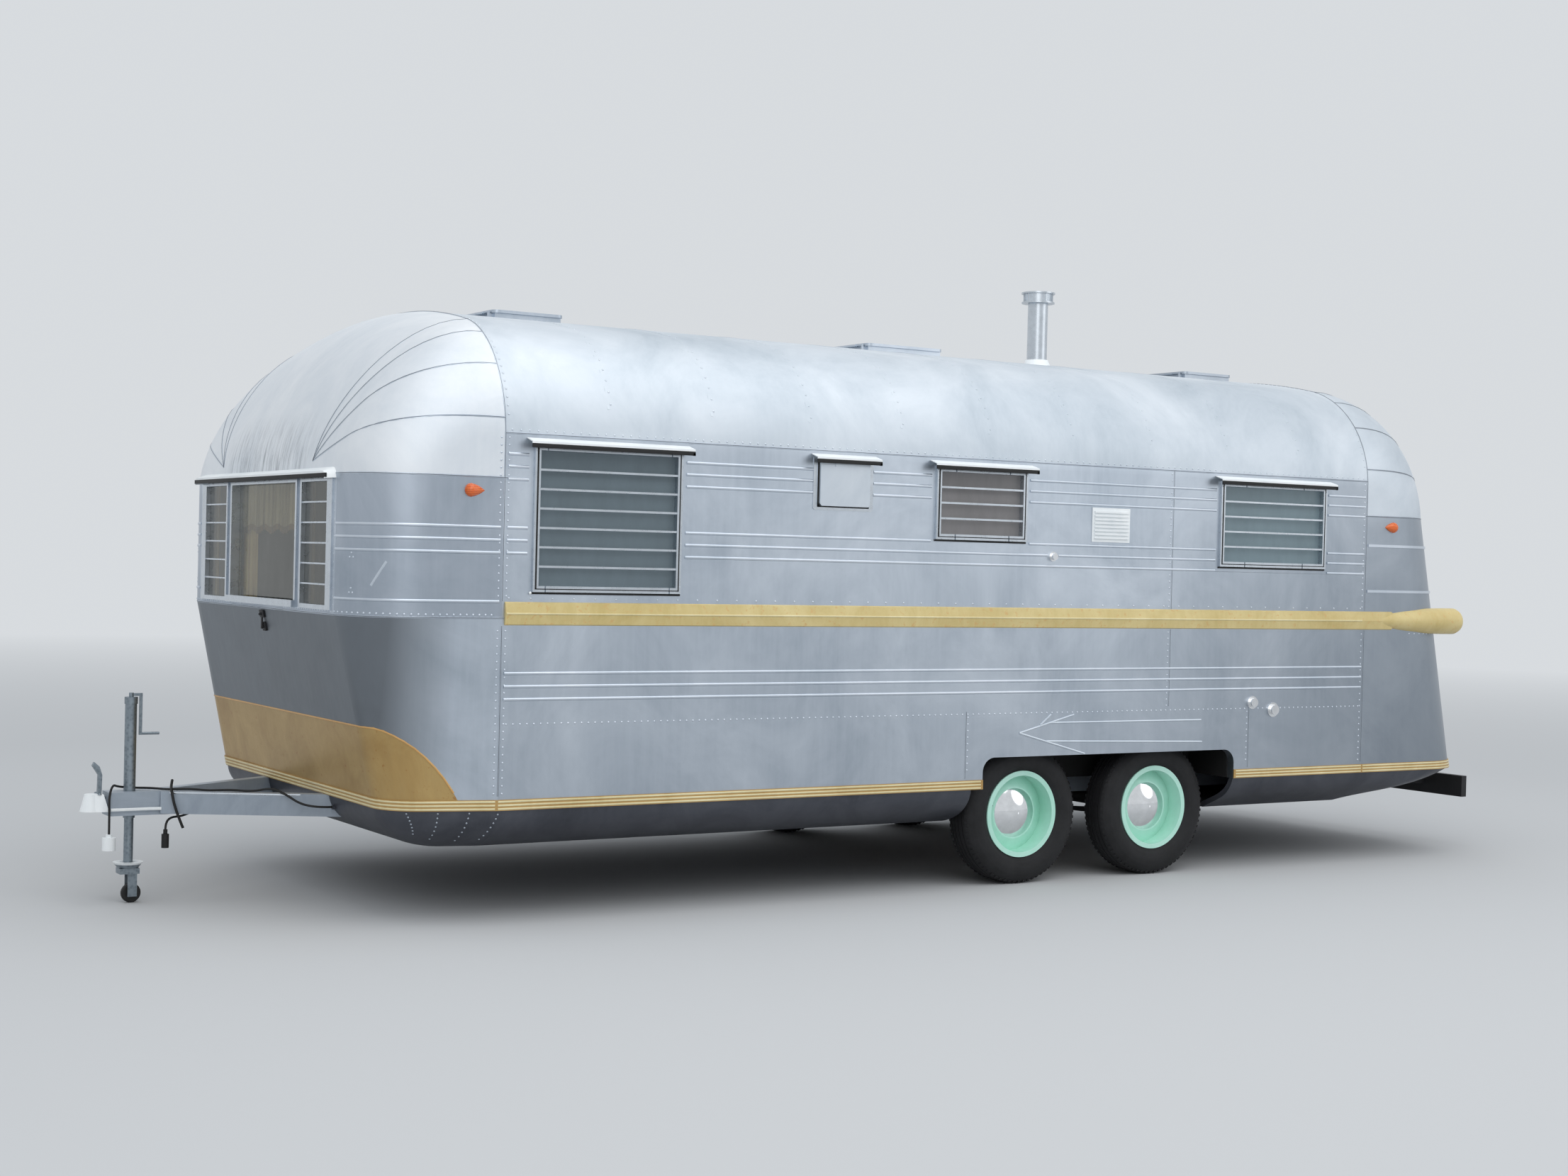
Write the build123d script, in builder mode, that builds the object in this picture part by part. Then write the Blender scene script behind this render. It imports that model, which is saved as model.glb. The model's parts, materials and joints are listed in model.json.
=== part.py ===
"""Travel caravan with riveted aluminium body, two axles, drawbar and jockey jack.

Millimetres. +X points forwards to the coupling, +Y to the left, +Z up, with the floor at z = 0
and the origin under the middle of the whole vehicle.
"""
import os
from math import atan2, cos, degrees, hypot, radians, sin, sqrt, tan

from build123d import *

os.makedirs("parts", exist_ok=True)

# Body shell
half_width = 1220.0
wall = 45.0
sill_z = 486.0
belt_z = 1289.0
cap_z = 1873.0
shoulder_z = 2030.0
shoulder_r = 550.0
shoulder_turn = 78.0
drip_z = 2060.0
front_seam_x = 2405.0
rear_seam_x = -2686.0
pole_gap = 5.0
floor_thick = 40.0
fit_gap = 0.3
far = 10000.0

# Front end: depth forwards of its seam, straight stretch of the side, lean of the foot
front_depth = 612.5
front_foot_depth = 440.0
front_side = 300.0
front_foot_taper = 16.0
knee_y = 421.0
front_power = 1.7

# Rear end: depth behind its seam
rear_depth = 735.0
rear_foot_depth = 950.0
rear_power = 2.0

# Belly pan
belly_thick = 20.0
belly_z = 313.0
axle_bay_front_x = -125.0
axle_bay_rear_x = -1756.0
belly_bay_front_x = -60.0
belly_open = 50.0

# Wheels and axles
axle_x = (-447.0, -1301.0)
tyre_r = 343.5
tyre_half_width = 92.5
wheel_inset = 175.0
rim_flange_r = 212.0
rim_seat_r = 194.0
rim_half_width = 77.0
flange_thick = 7.0
spindle_r = 20.0
running_gap = 0.05
brake_r = 140.0
axle_tube_r = 38.0
backing_inset = 90.0
spindle_out = 20.0
hub_out = 22.0
disc_out = 14.0
disc_thick = 8.0
hubcap_r = 120.0
hubcap_rise = 34.0
arch_top_z = 636.0
arch_middle_z = 560.0
arch_low_z = 440.0
arch_r = 70.0
wheel_box_inset = 160.0
wheel_box_top_z = 760.0
box_thick = 6.0

# Windows on the sides: front x, rear x, lower z, upper z, panes
side_windows = (
    (2273.0, 1563.0, 1399.0, 2020.0, 7),
    (195.0, -345.0, 1674.0, 2020.0, 4),
    (-1610.0, -2368.0, 1580.0, 2020.0, 5),
)
window_frame = 26.0
frame_proud = 14.0
glass_thick = 5.0
glass_in = 18.0
bar_height = 9.0
bar_deep = 10.0
bar_set_in = 8.0
bar_lap = 1.0

# Round cover between the left side's windows
disc_x = -519.0
disc_z = 1608.0
disc_r = 24.0

# Left hatch and right entrance door
hatch_front_x = 859.0
hatch_rear_x = 575.0
hatch_low_z = 1803.0
hatch_top_z = 2020.0
hatch_proud = 20.0
door_front_x = 1290.0
door_rear_x = 640.0
door_low_z = 560.0
door_top_z = 1950.0
door_gap = 6.0
hinge_r = 7.0
hinge_pin_r = 4.0
door_strip = 36.0

# Front windows, all in the band's flat face
front_glass_low_z = 1304.0
front_glass_top_z = 1862.0
centre_pane_half = 450.0
front_post = 40.0
front_margin = 32.5

# Frame and drawbar
rail_y = 700.0
rail_width = 50.0
rail_low_z = 390.0
rail_top_z = 486.0
drawbar_joint_x = 2300.0
drawbar_tip_x = 3440.0
drawbar_tip_y = 62.0
box_rear_x = 3400.0
box_front_x = 3690.0
box_half_width = 60.0
box_low_z = 385.0

# Springs
hanger_x = (-20.0, -874.0, -1728.0)
spring_eye_z = 342.0
spring_low_z = 276.0
leaf_thick = 24.0

# Jack
jack_x = 3590.0
jack_tube_r = 25.0
jack_tube_top_z = 880.0
jack_tube_low_z = 370.0
jack_leg_r = 20.0
jack_leg_low_z = 165.0
jack_wheel_r = 42.0
jack_wheel_width = 26.0

# Chimney and roof fittings
chimney_x = -1300.0
chimney_y = 80.0
chimney_r = 55.0
chimney_rise = 390.0

# Worked out from the sizes above
front_face_x = front_seam_x + front_depth
front_corner_r = front_depth - front_side
flat_half = half_width - front_corner_r
bay_mid_x = (axle_bay_front_x + axle_bay_rear_x) / 2
bay_length = axle_bay_front_x - axle_bay_rear_x
body_length = front_seam_x - rear_seam_x
body_mid_x = (front_seam_x + rear_seam_x) / 2
wheel_y = half_width - wheel_inset
backing_y = wheel_y - backing_inset
wheel_box_y = wheel_y - wheel_box_inset
shoulder_y = half_width - shoulder_r
turn = radians(shoulder_turn)
crown_join_y = shoulder_y + shoulder_r * cos(turn)
crown_join_z = shoulder_z + shoulder_r * sin(turn)
crown_r = crown_join_y / cos(turn)
crown_centre_z = crown_join_z - crown_r * sin(turn)
crown_z = crown_centre_z + crown_r
dome_height = crown_z - cap_z


def save(part, name):
    """Label a finished piece and write it to its own file."""
    part.label = name
    export_step(part, f"parts/{name}.step")


def roof_arch(inset):
    """Half section of the body as a closed outline, mirrored about the middle."""
    side_y = half_width - inset
    radius = shoulder_r - inset
    half_turn = turn / 2
    top_r = crown_r - inset
    top_half = (radians(90) + turn) / 2
    start = (side_y, sill_z)
    shoulder = (side_y, shoulder_z)
    shoulder_mid = (shoulder_y + radius * cos(half_turn), shoulder_z + radius * sin(half_turn))
    join = (shoulder_y + radius * cos(turn), shoulder_z + radius * sin(turn))
    top_mid = (top_r * cos(top_half), crown_centre_z + top_r * sin(top_half))
    crown = (0, crown_z - inset)
    with BuildSketch(Plane.YZ.offset(rear_seam_x)) as arch:
        with BuildLine():
            Line(start, shoulder)
            ThreePointArc(shoulder, shoulder_mid, join)
            ThreePointArc(join, top_mid, crown)
            Line(crown, (0, sill_z))
            Line((0, sill_z), start)
        make_face()
        mirror(about=Plane.YZ)
    return arch.sketch


def end_plane(end, angle, height):
    """Plane across the body through an end's seam, turned up by an angle from level."""
    seam_x = front_seam_x if end > 0 else rear_seam_x
    away = radians(angle)
    normal = (sin(away), 0, -end * cos(away))
    return Plane(origin=(seam_x, 0, height), x_dir=(0, 1, 0), z_dir=normal)


def end_outline(plane, inset, near, side, taper, slope, chord, knee_drop, crest, width=half_width):
    """Outline of a body end: side, corner arc, shoulder to the knee, and face across the middle.

    In the plane, x runs across the body and y away from the seam. taper leans the side inwards,
    slope is the shoulder's lean where the corner ends and chord its mean lean to the knee.
    """
    edge_y = width - inset
    top = crest - inset
    knee = top - knee_drop
    lean = radians(taper)
    tilt = radians(slope)
    mean = tan(radians(chord))
    side_y = edge_y - side * tan(lean)
    reach = (cos(tilt) - sin(lean)) - mean * (cos(lean) - sin(tilt))
    radius = (knee - side - mean * (side_y - knee_y)) / reach
    centre = (side_y - radius * cos(lean), side - radius * sin(lean))
    half_corner = (lean + radians(90) - tilt) / 2
    corner_mid = (centre[0] + radius * cos(half_corner), centre[1] + radius * sin(half_corner))
    corner_end = (centre[0] + radius * sin(tilt), centre[1] + radius * cos(tilt))
    sag = (corner_end[0] - knee_y) / 2 * tan((tilt - radians(chord)) / 2)
    shoulder_mid = ((corner_end[0] + knee_y) / 2, (corner_end[1] + knee) / 2 + sag)
    near_y = edge_y - max(near, 0) * tan(lean)
    right = [(edge_y, near), (edge_y, 0.0)] if near < 0 else [(near_y, near)]

    def flip(point):
        return (-point[0], point[1])

    with BuildSketch(plane) as outline:
        with BuildLine():
            for a, b in zip(right, right[1:]):
                Line(a, b)
                Line(flip(b), flip(a))
            Line(right[-1], (side_y, side))
            Line(flip((side_y, side)), flip(right[-1]))
            ThreePointArc((side_y, side), corner_mid, corner_end)
            ThreePointArc(flip(corner_end), flip(corner_mid), flip((side_y, side)))
            if sag > 0.01:
                ThreePointArc(corner_end, shoulder_mid, (knee_y, knee))
                ThreePointArc((-knee_y, knee), flip(shoulder_mid), flip(corner_end))
            else:
                Line(corner_end, (knee_y, knee))
                Line((-knee_y, knee), flip(corner_end))
            if knee_drop > 0.01:
                ThreePointArc((knee_y, knee), (0, top), (-knee_y, knee))
            else:
                Line((knee_y, knee), (-knee_y, knee))
            Line(flip(right[0]), right[0])
        make_face()
    return outline.sketch


# Ends at the cap's foot, the belt and the sill: side, taper, slope, chord, crest
front_at_cap = dict(side=front_side, taper=0.0, slope=0.0, chord=0.0, knee_drop=0.0, crest=front_depth)
front_at_sill = dict(front_at_cap, taper=front_foot_taper, crest=front_foot_depth)
rear_at_cap = dict(side=250.0, taper=0.0, slope=5.0, chord=5.0, knee_drop=0.0, crest=rear_depth)
rear_at_sill = dict(side=578.0, taper=0.0, slope=5.0, chord=5.0, knee_drop=0.0, crest=rear_foot_depth)
crown_drop = crown_r - sqrt(crown_r ** 2 - knee_y ** 2)
crown_chord = degrees(atan2(crown_z - crown_drop - crown_join_z, crown_join_y - knee_y))
at_seam = dict(
    side=shoulder_z - cap_z,
    taper=0.0,
    slope=90.0 - shoulder_turn,
    chord=crown_chord,
    knee_drop=crown_drop,
    crest=dome_height,
)
dome_angles = (0.0, 22.5, 45.0, 67.5, 90.0)


def dome_sections(end, foot, power, inset, near):
    """Sections of a dome, turning up from its foot to the roof seam."""
    sections = []
    for angle in dome_angles:
        share = angle / 90.0
        rise = sin(radians(angle)) ** 2
        level = cos(radians(angle)) / foot["crest"]
        upright = sin(radians(angle)) / dome_height
        crest = (level ** power + upright ** power) ** (-1.0 / power)
        blend = {key: foot[key] + share * (at_seam[key] - foot[key]) for key in ("side", "slope", "chord")}
        sections.append(
            end_outline(
                end_plane(end, angle, cap_z),
                inset,
                near,
                blend["side"],
                0.0,
                blend["slope"],
                blend["chord"],
                rise * crown_drop,
                crest,
            )
        )
    return sections


def dome(end, foot, power):
    """Hollow dome between the windows' top and the roof seam."""
    with BuildPart() as cap:
        loft(sections=dome_sections(end, foot, power, 0.0, pole_gap))
        loft(sections=dome_sections(end, foot, power, wall, pole_gap / 2), mode=Mode.SUBTRACT)
    return cap


def level_outline(end, height, ends, inset, near=-1.0):
    """Level outline of an end at a height, from its named proportions."""
    return end_outline(end_plane(end, 0.0, height), inset, near, **ends)


# Roof between the seams
with BuildPart() as roof:
    add(extrude(roof_arch(0.0), amount=body_length))
    add(extrude(roof_arch(wall), amount=body_length), mode=Mode.SUBTRACT)
    split(bisect_by=Plane.XY.offset(drip_z), keep=Keep.TOP)
save(roof.part, "roof")


def side_wall(sign):
    """One side between the seams, with its arch and its openings."""
    with BuildPart() as side:
        add(extrude(roof_arch(0.0), amount=body_length))
        add(extrude(roof_arch(wall), amount=body_length), mode=Mode.SUBTRACT)
        split(bisect_by=Plane.XY.offset(drip_z), keep=Keep.BOTTOM)
        split(bisect_by=Plane.XZ, keep=Keep.TOP if sign < 0 else Keep.BOTTOM)
        with BuildSketch(Plane.XZ):
            for front_x, rear_x, low_z, top_z, panes in side_windows:
                with Locations(((front_x + rear_x) / 2, (low_z + top_z) / 2)):
                    Rectangle(front_x - rear_x, top_z - low_z)
            if sign > 0:
                with Locations(((hatch_front_x + hatch_rear_x) / 2, (hatch_low_z + hatch_top_z) / 2)):
                    Rectangle(hatch_front_x - hatch_rear_x, hatch_top_z - hatch_low_z)
            else:
                with Locations(((door_front_x + door_rear_x) / 2, (door_low_z + door_top_z) / 2)):
                    Rectangle(door_front_x - door_rear_x, door_top_z - door_low_z)
        extrude(amount=far, both=True, mode=Mode.SUBTRACT)
        with BuildSketch(Plane.XZ):
            with Locations((bay_mid_x, (arch_top_z + arch_low_z) / 2)):
                RectangleRounded(bay_length, arch_top_z - arch_low_z, arch_r)
            with Locations((bay_mid_x, (sill_z + arch_middle_z) / 2)):
                Rectangle(bay_length, arch_middle_z - sill_z)
        extrude(amount=far, both=True, mode=Mode.SUBTRACT)
    return side


wall_left = side_wall(1)
save(wall_left.part, "wall_left")
wall_right = side_wall(-1)
save(wall_right.part, "wall_right")

# Front and rear domes
front_dome = dome(1, front_at_cap, front_power)
save(front_dome.part, "front_dome")
rear_dome = dome(-1, rear_at_cap, rear_power)
save(rear_dome.part, "rear_dome")

# Front window band and its openings: middle y, width
side_pane_width = flat_half - front_margin - centre_pane_half - front_post
side_pane_y = centre_pane_half + front_post + side_pane_width / 2
front_openings = (
    (0.0, 2 * centre_pane_half),
    (side_pane_y, side_pane_width),
    (-side_pane_y, side_pane_width),
)
with BuildPart() as front_band:
    with BuildPart(mode=Mode.PRIVATE) as hollow:
        extrude(level_outline(1, cap_z, front_at_cap, wall), amount=cap_z - belt_z)
    extrude(level_outline(1, cap_z, front_at_cap, 0.0, near=0.0), amount=cap_z - belt_z)
    add(hollow.part, mode=Mode.SUBTRACT)
    glass_mid_z = (front_glass_low_z + front_glass_top_z) / 2
    glass_height = front_glass_top_z - front_glass_low_z
    for y, width in front_openings:
        with Locations((front_face_x, y, glass_mid_z)):
            Box(4 * wall, width, glass_height, mode=Mode.SUBTRACT)
save(front_band.part, "front_band")


def lower_end(end, upper, upper_z, lower, inset, near):
    """Solid between two level outlines of an end."""
    with BuildPart() as solid:
        loft(
            sections=[
                level_outline(end, upper_z, upper, inset, near),
                level_outline(end, sill_z, lower, inset, near),
            ],
            ruled=True,
        )
    return solid


# Front nose, parted from the gold apron along a curve seen from the side
apron_rear_x = front_seam_x + 155.0
apron_top_z = 826.0
apron_low_z = sill_z - 20.0
apron_curve_mid = (apron_rear_x + 134.0, 700.0)
apron_curve_end = (apron_rear_x + 320.0, apron_top_z)
apron_front = (front_face_x + 200.0, apron_top_z + 14.0)
with BuildPart() as apron_space:
    with BuildSketch(Plane.XZ):
        with BuildLine():
            Line((apron_rear_x, apron_low_z), (apron_rear_x, sill_z + 34.0))
            ThreePointArc((apron_rear_x, sill_z + 34.0), apron_curve_mid, apron_curve_end)
            Line(apron_curve_end, apron_front)
            Line(apron_front, (apron_front[0], apron_low_z))
            Line((apron_front[0], apron_low_z), (apron_rear_x, apron_low_z))
        make_face()
    extrude(amount=far, both=True)
nose_outer = lower_end(1, front_at_cap, belt_z, front_at_sill, 0.0, 0.0)
nose_inner = lower_end(1, front_at_cap, belt_z, front_at_sill, wall, 0.0)
with BuildPart() as front_nose:
    add(nose_outer.part)
    add(nose_inner.part, mode=Mode.SUBTRACT)
    add(apron_space.part, mode=Mode.SUBTRACT)
save(front_nose.part, "front_nose")
with BuildPart() as front_apron:
    add(nose_outer.part)
    add(nose_inner.part, mode=Mode.SUBTRACT)
    add(apron_space.part, mode=Mode.INTERSECT)
save(front_apron.part, "front_apron")

# Rear panel below the rear dome
rear_outer = lower_end(-1, rear_at_cap, cap_z, rear_at_sill, 0.0, 0.0)
rear_inner = lower_end(-1, rear_at_cap, cap_z, rear_at_sill, wall, 0.0)
rear_window_half = 390.0
rear_window_low_z = 1500.0
rear_window_top_z = 1822.0
rear_window_z = (rear_window_low_z + rear_window_top_z) / 2
rear_fall = (rear_foot_depth - rear_depth) / (cap_z - sill_z)
rear_window_x = rear_seam_x - rear_depth - rear_fall * (cap_z - rear_window_z)
rear_window_place = Location((rear_window_x, 0, rear_window_z), (0, degrees(atan2(rear_fall, 1)), 0))
rear_window_height = rear_window_top_z - rear_window_low_z
with BuildPart() as rear_panel:
    add(rear_outer.part)
    add(rear_inner.part, mode=Mode.SUBTRACT)
    with Locations(rear_window_place):
        Box(4 * wall, 2 * rear_window_half, rear_window_height, mode=Mode.SUBTRACT)
save(rear_panel.part, "rear_panel")

# Belly pans, from the sill down: height, narrowing of each side, side length, depth
front_belly = (
    (sill_z, 3.0, 297.0, 437.0),
    (420.0, 28.0, 285.0, 415.0),
    (352.0, 110.0, 230.0, 330.0),
    (belly_z, 220.0, 145.0, 205.0),
)
rear_belly = (
    (sill_z, 3.0, 575.0, 945.0),
    (430.0, 28.0, 430.0, 790.0),
    (365.0, 110.0, 180.0, 450.0),
    (belly_z, 220.0, 10.0, 130.0),
)


def belly_solid(end, levels, near, skin):
    """Filled belly from the axle bay to one end, rounded up to the sill."""
    foot = front_at_sill if end > 0 else rear_at_sill
    with BuildPart() as filled:
        loft(
            sections=[
                end_outline(
                    end_plane(end, 0.0, height + skin),
                    skin,
                    near,
                    side,
                    foot["taper"],
                    foot["slope"],
                    foot["chord"],
                    0.0,
                    depth,
                    width=half_width - narrow,
                )
                for height, narrow, side, depth in levels
            ]
        )
    return filled.part


def beam(sign, width, low_z, top_z):
    """One slanting beam of the drawbar, between its tip and its joint with the rail."""
    run = drawbar_tip_x - drawbar_joint_x
    spread = rail_y - drawbar_tip_y
    lean = degrees(atan2(spread, run))
    middle_x = (drawbar_tip_x + drawbar_joint_x) / 2
    middle = (middle_x, sign * (rail_y + drawbar_tip_y) / 2, (low_z + top_z) / 2)
    with BuildPart() as bar:
        with Locations(Location(middle, (0, 0, -sign * lean))):
            Box(hypot(run, spread) + rail_width, width, top_z - low_z)
    return bar.part


beam_clear = 2.0
with BuildPart() as beam_space:
    for sign in (-1, 1):
        add(beam(sign, rail_width + 2 * beam_clear, rail_low_z - beam_clear, rail_top_z + beam_clear))

# Front belly with slots for the springs' front hangers
spring_slot_length = 160.0
spring_slot_height = 200.0
spring_slot_clear = 15.0

# Glands in the front belly where the cables leave it, one each side of the left beam
gland_x = 2842.0
gland_length = 44.0
gland_r = 11.0
gland_z = 437.0
gland_ys = (466.0, 325.0)
front_belly_near = belly_bay_front_x - front_seam_x
with BuildPart() as belly_front:
    add(belly_solid(1, front_belly, front_belly_near, 0.0))
    add(belly_solid(1, front_belly, front_belly_near - belly_open, belly_thick), mode=Mode.SUBTRACT)
    add(beam_space.part, mode=Mode.SUBTRACT)
    for y in gland_ys:
        with Locations(Location((gland_x - gland_length / 2, y, gland_z), (0, 90, 0))):
            Cylinder(gland_r, gland_length)
    for sign in (-1, 1):
        with Locations((belly_bay_front_x, sign * rail_y, belly_z)):
            Box(spring_slot_length, rail_width + 2 * spring_slot_clear, spring_slot_height, mode=Mode.SUBTRACT)

# Rear belly with slots for the bumper's arms
arm_slot_x = rear_seam_x - 750.0
arm_slot_length = 1300.0
arm_slot_width = 46.0
arm_slot_height = 2 * (rail_top_z - rail_low_z + beam_clear)
rear_belly_near = rear_seam_x - axle_bay_rear_x
with BuildPart() as belly_rear:
    add(belly_solid(-1, rear_belly, rear_belly_near, 0.0))
    add(belly_solid(-1, rear_belly, rear_belly_near - belly_open, belly_thick), mode=Mode.SUBTRACT)
    for sign in (-1, 1):
        with Locations((arm_slot_x, sign * rail_y, rail_low_z)):
            Box(arm_slot_length, arm_slot_width, arm_slot_height, mode=Mode.SUBTRACT)
save(Compound(children=[*belly_front.part.solids(), *belly_rear.part.solids()]), "belly_pans")

# Floor slab, cut round the wheel boxes
inner_side_y = half_width - wall - fit_gap
floor_share = floor_thick / (cap_z - sill_z)
floor_clear = 8.0
box_reach = 400.0
front_floor_ends = dict(
    front_at_sill,
    side=front_at_sill["side"] - 2 * floor_clear,
    crest=front_foot_depth - floor_clear,
)
rear_floor_ends = {
    key: value + floor_share * (rear_at_cap[key] - value) for key, value in rear_at_sill.items()
}
rear_floor_ends["crest"] -= floor_clear
with BuildPart() as floor:
    front_floor = level_outline(1, sill_z + floor_thick, front_floor_ends, wall + fit_gap, near=-body_length / 2)
    rear_floor = level_outline(-1, sill_z, rear_floor_ends, wall + fit_gap, near=-body_length / 2 - 1.0)
    extrude(front_floor, amount=floor_thick)
    extrude(rear_floor, amount=floor_thick)
    for sign in (-1, 1):
        cut_mid_y = wheel_box_y - box_thick - fit_gap + box_reach / 2
        with Locations((bay_mid_x, sign * cut_mid_y, sill_z + floor_thick / 2)):
            Box(bay_length + 2 * fit_gap, box_reach, 2 * floor_thick, mode=Mode.SUBTRACT)
save(floor.part, "floor")

# Wheel boxes, open below and towards the arch
box_depth = inner_side_y - wheel_box_y + box_thick
box_height = wheel_box_top_z - sill_z
box_mid_y = inner_side_y - box_depth / 2
box_mid_z = sill_z + box_height / 2
with BuildPart() as wheel_boxes:
    for sign in (-1, 1):
        with Locations((bay_mid_x, sign * box_mid_y, box_mid_z)):
            Box(bay_length, box_depth, box_height)
        with Locations((bay_mid_x, sign * (box_mid_y + box_thick), box_mid_z - box_thick)):
            Box(bay_length - 2 * box_thick, box_depth, box_height, mode=Mode.SUBTRACT)
save(wheel_boxes.part, "wheel_boxes")

# Window frames with their bars, and the panes behind them
frame_deep = 40.0
frame_lip = 10.0
groove_width = 6.0
groove_deep = 10.0
side_glass_y = half_width - glass_in
with BuildPart() as window_frames:
    for sign in (-1, 1):
        for front_x, rear_x, low_z, top_z, panes in side_windows:
            frame_mid_y = half_width + frame_proud - frame_deep / 2
            mid = ((front_x + rear_x) / 2, sign * frame_mid_y, (low_z + top_z) / 2)
            width = front_x - rear_x
            height = top_z - low_z
            with Locations(mid):
                Box(width - 2 * fit_gap, frame_deep, height - 2 * fit_gap)
                Box(width - 2 * window_frame, 2 * frame_deep, height - 2 * window_frame, mode=Mode.SUBTRACT)
            face = Plane(origin=(mid[0], sign * (half_width + frame_proud), mid[2]), z_dir=(0, -sign, 0))
            with BuildSketch(face):
                Rectangle(width - 2 * frame_lip, height - 2 * frame_lip)
                sash = 2 * (frame_lip + groove_width)
                Rectangle(width - sash, height - sash, mode=Mode.SUBTRACT)
            extrude(amount=groove_deep, mode=Mode.SUBTRACT)
            pitch = (height - 2 * window_frame) / panes
            for row in range(1, panes):
                z = low_z + window_frame + row * pitch
                with Locations((mid[0], sign * (half_width + frame_proud - bar_set_in), z)):
                    Box(width - 2 * window_frame + 2 * bar_lap, bar_deep, bar_height)
with BuildPart() as side_glass:
    for sign in (-1, 1):
        for front_x, rear_x, low_z, top_z, panes in side_windows:
            with Locations(((front_x + rear_x) / 2, sign * side_glass_y, (low_z + top_z) / 2)):
                Box(front_x - rear_x - 2 * window_frame, glass_thick, top_z - low_z - 2 * window_frame)

# Front window frames and panes: the outer ones have louvres and a wide outer jamb
front_frame = 20.0
front_jamb = 60.0
front_proud = 8.0
front_rows = 6
front_bar = 7.0
centre_glass_in = 34.0
side_glass_in = 14.0
rear_glass_in = 12.0
sill_out = 24.0
sill_height = 30.0
front_deep = wall + front_proud
front_pane_height = glass_height - 2 * front_frame


def front_pane(y, width):
    """Middle and width of the glass of one front opening."""
    jamb = front_jamb if y else front_frame
    towards_middle = (front_frame - jamb) / 2
    return (y + towards_middle if y > 0 else y - towards_middle), width - front_frame - jamb


with BuildPart() as front_frames:
    for y, width in front_openings:
        pane_y, pane_width = front_pane(y, width)
        with Locations((front_face_x + front_proud - front_deep / 2, y, glass_mid_z)):
            Box(front_deep, width - 2 * fit_gap, glass_height - 2 * fit_gap)
        with Locations((front_face_x, pane_y, glass_mid_z)):
            Box(4 * wall, pane_width, front_pane_height, mode=Mode.SUBTRACT)
    for y, width in front_openings[1:]:
        pane_y, pane_width = front_pane(y, width)
        for row in range(1, front_rows):
            z = glass_mid_z - front_pane_height / 2 + row * front_pane_height / front_rows
            with Locations((front_face_x, pane_y, z)):
                Box(front_bar, pane_width + 2 * bar_lap, front_bar)
    with Locations((front_face_x + sill_out / 2, 0, front_glass_low_z + fit_gap + sill_height / 2)):
        Box(sill_out, 2 * (centre_pane_half - fit_gap), sill_height)
with BuildPart() as rear_frame:
    with Locations(rear_window_place):
        Box(frame_deep, 2 * rear_window_half - 2 * fit_gap, rear_window_height - 2 * fit_gap)
        Box(
            2 * frame_deep,
            2 * (rear_window_half - window_frame),
            rear_window_height - 2 * window_frame,
            mode=Mode.SUBTRACT,
        )
        Box(bar_height, bar_height, rear_window_height - 2 * window_frame + 2 * bar_lap)
save(
    Compound(
        children=[*window_frames.part.solids(), *front_frames.part.solids(), *rear_frame.part.solids()]
    ),
    "window_frames",
)
with BuildPart() as end_glass:
    for y, width in front_openings:
        pane_y, pane_width = front_pane(y, width)
        glass_back = side_glass_in if y else centre_glass_in
        with Locations((front_face_x - glass_back, pane_y, glass_mid_z)):
            Box(glass_thick, pane_width, front_pane_height)
    with Locations(rear_window_place * Location((rear_glass_in, 0, 0))):
        Box(glass_thick, 2 * (rear_window_half - window_frame), rear_window_height - 2 * window_frame)
save(Compound(children=[*side_glass.part.solids(), *end_glass.part.solids()]), "window_glass")

# Curtains hung on the inner face of the front band: middle y, width, lower z
curtain_thick = 24.0
curtain_top_z = front_glass_top_z + 5.0
curtain_x = front_face_x - wall - fit_gap - curtain_thick / 2
valance_low_z = 1600.0
curtains = (
    (0.0, 780.0, valance_low_z),
    (455.0, 110.0, front_glass_low_z),
    (-455.0, 110.0, front_glass_low_z),
    (845.0, 90.0, front_glass_low_z),
    (-845.0, 90.0, front_glass_low_z),
)
with BuildPart() as front_curtains:
    for y, width, low_z in curtains:
        with Locations((curtain_x, y, (curtain_top_z + low_z) / 2)):
            Box(curtain_thick, width, curtain_top_z - low_z)
save(front_curtains.part, "front_curtains")

# Visors over the side windows and the hatch
visor_out = 55.0
visor_drop = 16.0
visor_sheet = 3.0
visor_lip = 8.0
visor_over = 35.0
visor_low_z = drip_z - 34.0
visor_lip_y = half_width + visor_out
with BuildPart() as side_visors:
    spans = [(1, window[0], window[1]) for window in side_windows]
    spans += [(-1, window[0], window[1]) for window in side_windows]
    spans.append((1, hatch_front_x, hatch_rear_x))
    for sign, front_x, rear_x in spans:
        with BuildSketch(Plane.YZ.offset(rear_x - visor_over)):
            with BuildLine():
                Polyline(
                    (sign * half_width, visor_low_z + visor_drop + visor_sheet),
                    (sign * visor_lip_y, visor_low_z + visor_sheet),
                    (sign * visor_lip_y, visor_low_z - visor_lip),
                    (sign * (visor_lip_y - visor_sheet), visor_low_z - visor_lip),
                    (sign * (visor_lip_y - visor_sheet), visor_low_z),
                    (sign * half_width, visor_low_z + visor_drop),
                    close=True,
                )
            make_face()
        extrude(amount=front_x - rear_x + 2 * visor_over, dir=(1, 0, 0))

# Visor across the front windows, curled down at its ends
front_visor_out = 44.0
front_visor_top_z = cap_z + 27.0
front_visor_low_z = cap_z - 1.0
front_visor_lip = 6.0
front_visor_sheet = 4.0
front_visor_curl = 27.0
front_visor_turn = 80.0
front_visor_half = flat_half - 57.0


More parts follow.
